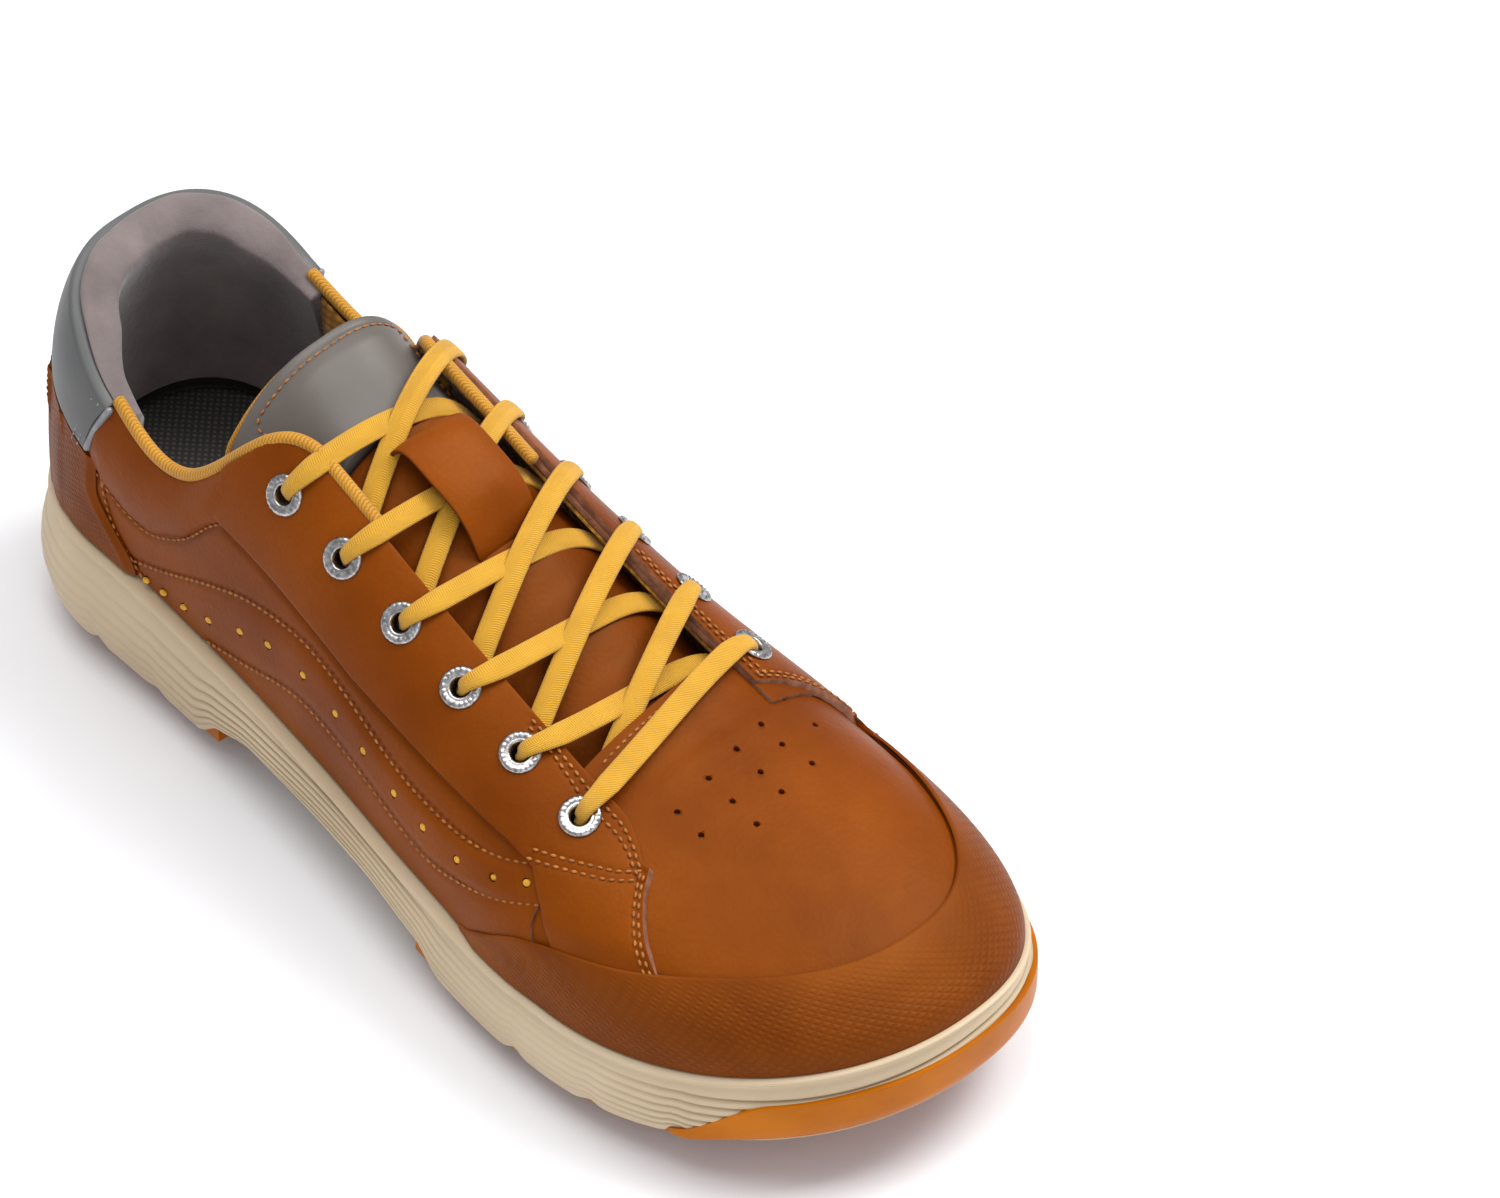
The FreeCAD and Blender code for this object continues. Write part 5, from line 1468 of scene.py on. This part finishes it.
bar = [lace_station(side, 0, LACE_OVER, inward) for side, inward in ((-1, 0), (-1, 9), (1, 9), (1, 0))]
route = climb(-1)[::-1] + bar + climb(1)
curve = bpy.data.curves.new("lace_route", "CURVE")
curve.dimensions = "3D"
curve.resolution_u = 10
spline = curve.splines.new("NURBS")
spline.points.add(len(route) - 1)
for point, place in zip(spline.points, route):
    point.co = (*(place * MM), 1)
spline.order_u = 3
spline.use_endpoint_u = True
guide = link(bpy.data.objects.new("lace_route", curve))
traced = bpy.data.meshes.new_from_object(guide)
lace_line = np.array([vert.co for vert in traced.vertices]) / MM
bpy.data.objects.remove(guide)
lace_length = np.linalg.norm(np.diff(lace_line, axis=0), axis=1).sum()
print("lace", len(lace_line), "points,", round(float(lace_length)), "mm")

# %% Lace band
LACE_HALF, LACE_THICK = 2.9, 0.75
EYELET_HALF = 1.9


def lace_directions(line):
    """Flat side of the band: the shoe's outward direction, carried on where the band dives."""
    forward = unit(np.gradient(line, axis=0))
    outward = crown_normal(line[:, 0], line[:, 1])
    flat = outward - (outward * forward).sum(1, keepdims=True) * forward
    sure = np.linalg.norm(flat, axis=1, keepdims=True)**3
    flat = unit(flat) * sure
    for _ in range(40):
        spread = flat.copy()
        spread[1:-1] += 0.5 * (flat[:-2] + flat[2:])
        spread -= (spread * forward).sum(1, keepdims=True) * forward
        flat = flat * sure + spread * (1 - sure) * 0.5
    return forward, unit(flat)


steps = np.concatenate([[0], np.cumsum(np.linalg.norm(np.diff(lace_line, axis=0), axis=1))])
even = np.arange(0, steps[-1], 1.0)
lace_line = np.stack([np.interp(even, steps, lace_line[:, k]) for k in range(3)], axis=1)
for _ in range(3):
    lace_line[1:-1] = 0.5 * lace_line[1:-1] + 0.25 * (lace_line[:-2] + lace_line[2:])
forward, flat = lace_directions(lace_line)
holes = np.array([eyelet_spot(side, i)[0] for side in (-1, 1) for i in range(EYELET_COUNT)])
near_hole = np.sqrt(((lace_line[:, None] - holes[None])**2).sum(-1)).min(1)
half = mix(EYELET_HALF, LACE_HALF, np.clip((near_hole - 3.5) / 7.0, 0, 1)**0.8)
thick = mix(1.15, LACE_THICK, np.clip((near_hole - 3.5) / 7.0, 0, 1))
angle = np.linspace(0, 2 * math.pi, 17)
angle[-1] = angle[0]
ellipse_side = np.sign(np.cos(angle)) * np.abs(np.cos(angle))**0.75
ellipse_up = np.sign(np.sin(angle)) * np.abs(np.sin(angle))**0.8
sideways = np.cross(flat, forward)
points = (lace_line[:, None] + sideways[:, None] * (half[:, None] * ellipse_side[None])[..., None]
          + flat[:, None] * (thick[:, None] * ellipse_up[None])[..., None])
lace = grid_piece("shoelace_band", points, merge=True)
close_ends(lace.data)
finish_piece(lace, "root", "lace_yellow", lace_twill, replaces=("shoelace",))

# %% [markdown]
# ## Midsole
# The midsole is one moulding of cream foam. Its wall has a lip under the upper, then
# bundles of fine grooves that flow along the side and part round the arch. The whole
# skin, wall, underside and cup, is one grid that closes on the shoe's centre line.

# %% Midsole
MIDSOLE_BASE = 11.9


def ground(height, x):
    return height + toe_lift(x) + 4.0 * (np.maximum(0.0, -118 - x) / 30)**2


def midsole_lower(x):
    arch = ease((x + 62) / 18) * ease((30 - x) / 26)
    return ground(MIDSOLE_BASE, x) + 4.5 * arch


def sole_edge(u, margin):
    """Plan point at a margin outside the feather line."""
    _, _, x, y = outline(u)
    _, _, x0, y0 = outline(u - 0.003)
    _, _, x1, y1 = outline(u + 0.003)
    run = np.stack([x1 - x0, y1 - y0], axis=-1)
    out = unit(np.stack([-run[..., 1], run[..., 0]], axis=-1))
    middle_x, middle_y, _, _ = outline(u)
    sign = np.sign(out[..., 0] * (x - middle_x) + out[..., 1] * (y - middle_y))
    return x + out[..., 0] * margin * sign, y + out[..., 1] * margin * sign


WALL = [(0.00, 1.0, -5.0), (0.05, 1.0, -1.0), (0.09, 1.0, 1.4), (0.12, 0.985, 2.7), (0.15, 0.955, 3.2),
        (0.18, 0.92, 2.8), (0.22, 0.88, 2.3), (0.30, 0.78, 3.0), (0.42, 0.62, 4.2), (0.55, 0.44, 5.0),
        (0.68, 0.27, 5.0), (0.80, 0.13, 4.3), (0.88, 0.04, 3.5), (0.94, 0.0, 2.6), (1.00, 0.0, 1.5)]
SKIRT_HEIGHT = 6.0
CUP_DEPTH = 6.0
SCALLOPS = [(-128, 1.6), (-107, 2.2), (-84, 1.4), (64, 2.4), (88, 1.6), (110, 1.4)]


def skirt_bottom(x):
    """The wall drops round the rubber pods, opens over the arch and is scalloped."""
    arch = ease((x + 68) / 9) * ease((36 - x) / 10)
    low = mix(ground(SKIRT_HEIGHT, x), midsole_lower(x), arch)
    for place, rise in SCALLOPS:
        low = low + rise * np.exp(-((x - place) / 2.4)**2)
    return low


def wall_grooves(u, height):
    """Fine flowing grooves: bundles that rise and fall along the wall."""
    relief = np.zeros_like(height)
    flow = 0.10 * np.sin(u * 2 * math.pi * 3 + 0.6) + 0.05 * np.sin(u * 2 * math.pi * 7)
    strength = 0.55 + 0.45 * np.sin(u * 2 * math.pi * 4 + 1.0)
    for k in range(6):
        level = 0.22 + 0.105 * k + flow * (1 - 0.1 * k)
        relief -= strength * 0.85 * np.exp(-((height - level) / 0.020)**2)
    return relief * np.clip((0.88 - height) / 0.08, 0, 1) * np.clip((height - 0.08) / 0.06, 0, 1)


count_u, count_wall = 420, 190
HIDDEN_ROWS = 8
k = np.linspace(0, 1, count_wall + 1)[None]
u = np.linspace(-0.5, 0.5, count_u + 1)[:, None]
u, k = np.broadcast_arrays(u, k)
height = along([(w[0], w[1]) for w in WALL], k)
heel_flare = 1.6 * np.exp(-((np.abs(u) - 0.09) / 0.05)**2) * np.sin(math.pi * np.clip(height, 0, 1))
margin = along([(w[0], w[2]) for w in WALL], k) + wall_grooves(u, height) + heel_flare
x, y = sole_edge(u, margin)
low, high = skirt_bottom(x), feather(x) - 0.25
wall = np.stack([x, y, mix(low, high, height)], axis=-1)


def inward_cap(rim, floor_height, steps):
    """Rows from an edge to the centre line at a given floor."""
    rows = []
    middle_x, middle_y, _, _ = outline(np.linspace(-0.5, 0.5, count_u + 1))
    for step in range(1, steps + 1):
        share = step / steps
        px = mix(rim[:, 0], middle_x, share)
        py = mix(rim[:, 1], middle_y, share)
        rows.append(np.stack([px, py, floor_height(px)], axis=-1))
    return np.stack(rows, axis=1)


inner_x, inner_y = sole_edge(u[:, 0], 1.4)
inner = np.stack([inner_x, inner_y, midsole_lower(inner_x)], axis=-1)
under = inward_cap(inner, midsole_lower, 10)
cup_edge = wall[:, 0].copy()
cup_edge[:, 2] = feather(cup_edge[:, 0]) - CUP_DEPTH
cup = inward_cap(cup_edge, lambda px: feather(px) - CUP_DEPTH, 8)
skin = np.concatenate([cup[:, ::-1], cup_edge[:, None], wall, inner[:, None], under], axis=1)
# The groove mask is painted shade: the foam's colour darkens in the deeper grooves.
grooves = np.zeros(skin.shape[:2])
grooves[:, cup.shape[1] + 1:cup.shape[1] + 1 + wall.shape[1]] = np.clip(-wall_grooves(u, height), 0, 0.7)
# The inside mask is painted shade: the cup and the top wall rows inside the upper are painted near-black.
inside = np.zeros(skin.shape[:2])
inside[:, :cup.shape[1] + 1 + HIDDEN_ROWS] = 1.0
midsole = grid_piece("midsole_shell", skin, marks={"groove": grooves, "inside": inside}, merge=True)
finish_piece(midsole, "root", "midsole_cream", midsole_foam, replaces=("midsole",))

# %% [markdown]
# The amber rubber of the outsole wraps up over the front of the toe, under the cream
# lip. It is a shallow curved strip that is thickest at the very front.

# %% Toe wrap
a, b = spaced(160, 20)
WRAP_LATERAL, WRAP_MEDIAL = 0.405, 0.372
u = round_toe(a, WRAP_LATERAL, WRAP_MEDIAL)
ends = np.clip(np.minimum(a, 1 - a) / 0.16, 0, 1)
top_share = 0.05 + 0.59 * ease(ends)
height = mix(-0.02, top_share, b)
bulge = 5.1 + 0.3 * np.sin(math.pi * b) - 3.0 * np.clip((0.4 - b) / 0.4, 0, 1)**2
x, y = sole_edge(u, mix(0.8, bulge, ease(ends * 4)))
low, high = skirt_bottom(x), feather(x) - 0.25
surface = np.stack([x, y, mix(low, high, height)], axis=-1)
outward = np.stack([x - outline(u)[0], y - outline(u)[1], np.zeros_like(x)], axis=-1)
wrap = grid_piece("outsole_toe_wrap", surface, outward, wall=1.6, rounding=0.5)
finish_piece(wrap, "root", "outsole_amber", amber_rubber)

# %% [markdown]
# ## Stitching
# All the rows that were sewn above are now turned into two objects, one for each
# colour of thread.

# %% Threads
finish_piece(form_piece("brown_stitching", brown_rows), "root", "leather_tan", thread_brown)
finish_piece(form_piece("grey_stitching", grey_rows), "root", "leather_grey", thread_grey)

# %% [markdown]
# ## The parts that stay as they are
# The outsole pods, their backing plates, the shank, the sockets and the cleats come
# from the CAD model unchanged. They only need their materials.

# %% Materials of the CAD parts
CAD_FINISHES = {"vamp_lining": lining_tan, "toe_puff": board_tan, "toe_lining": lining_tan,
                "heel_stiffener": board_tan, "insole_board": insole_cloth, "insole": insole_cloth,
                "shank": shank_pearl, "outsole_forefoot": amber_rubber, "outsole_heel": amber_rubber,
                "forefoot_plate": plate_dark, "heel_plate": plate_dark, "cleat_receptacles": socket_dark,
                "lace_aglets": aglet_clear}
for number in range(1, 8):
    CAD_FINISHES["cleat_%d" % number] = cleat_plastic
    CAD_FINISHES["cleat_stud_%d" % number] = stud_dark

for name, material in CAD_FINISHES.items():
    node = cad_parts[name]
    if not node.material_slots:
        node.data.materials.append(material)
    for slot in node.material_slots:
        slot.material = material
print("materials on", len(CAD_FINISHES), "CAD parts")
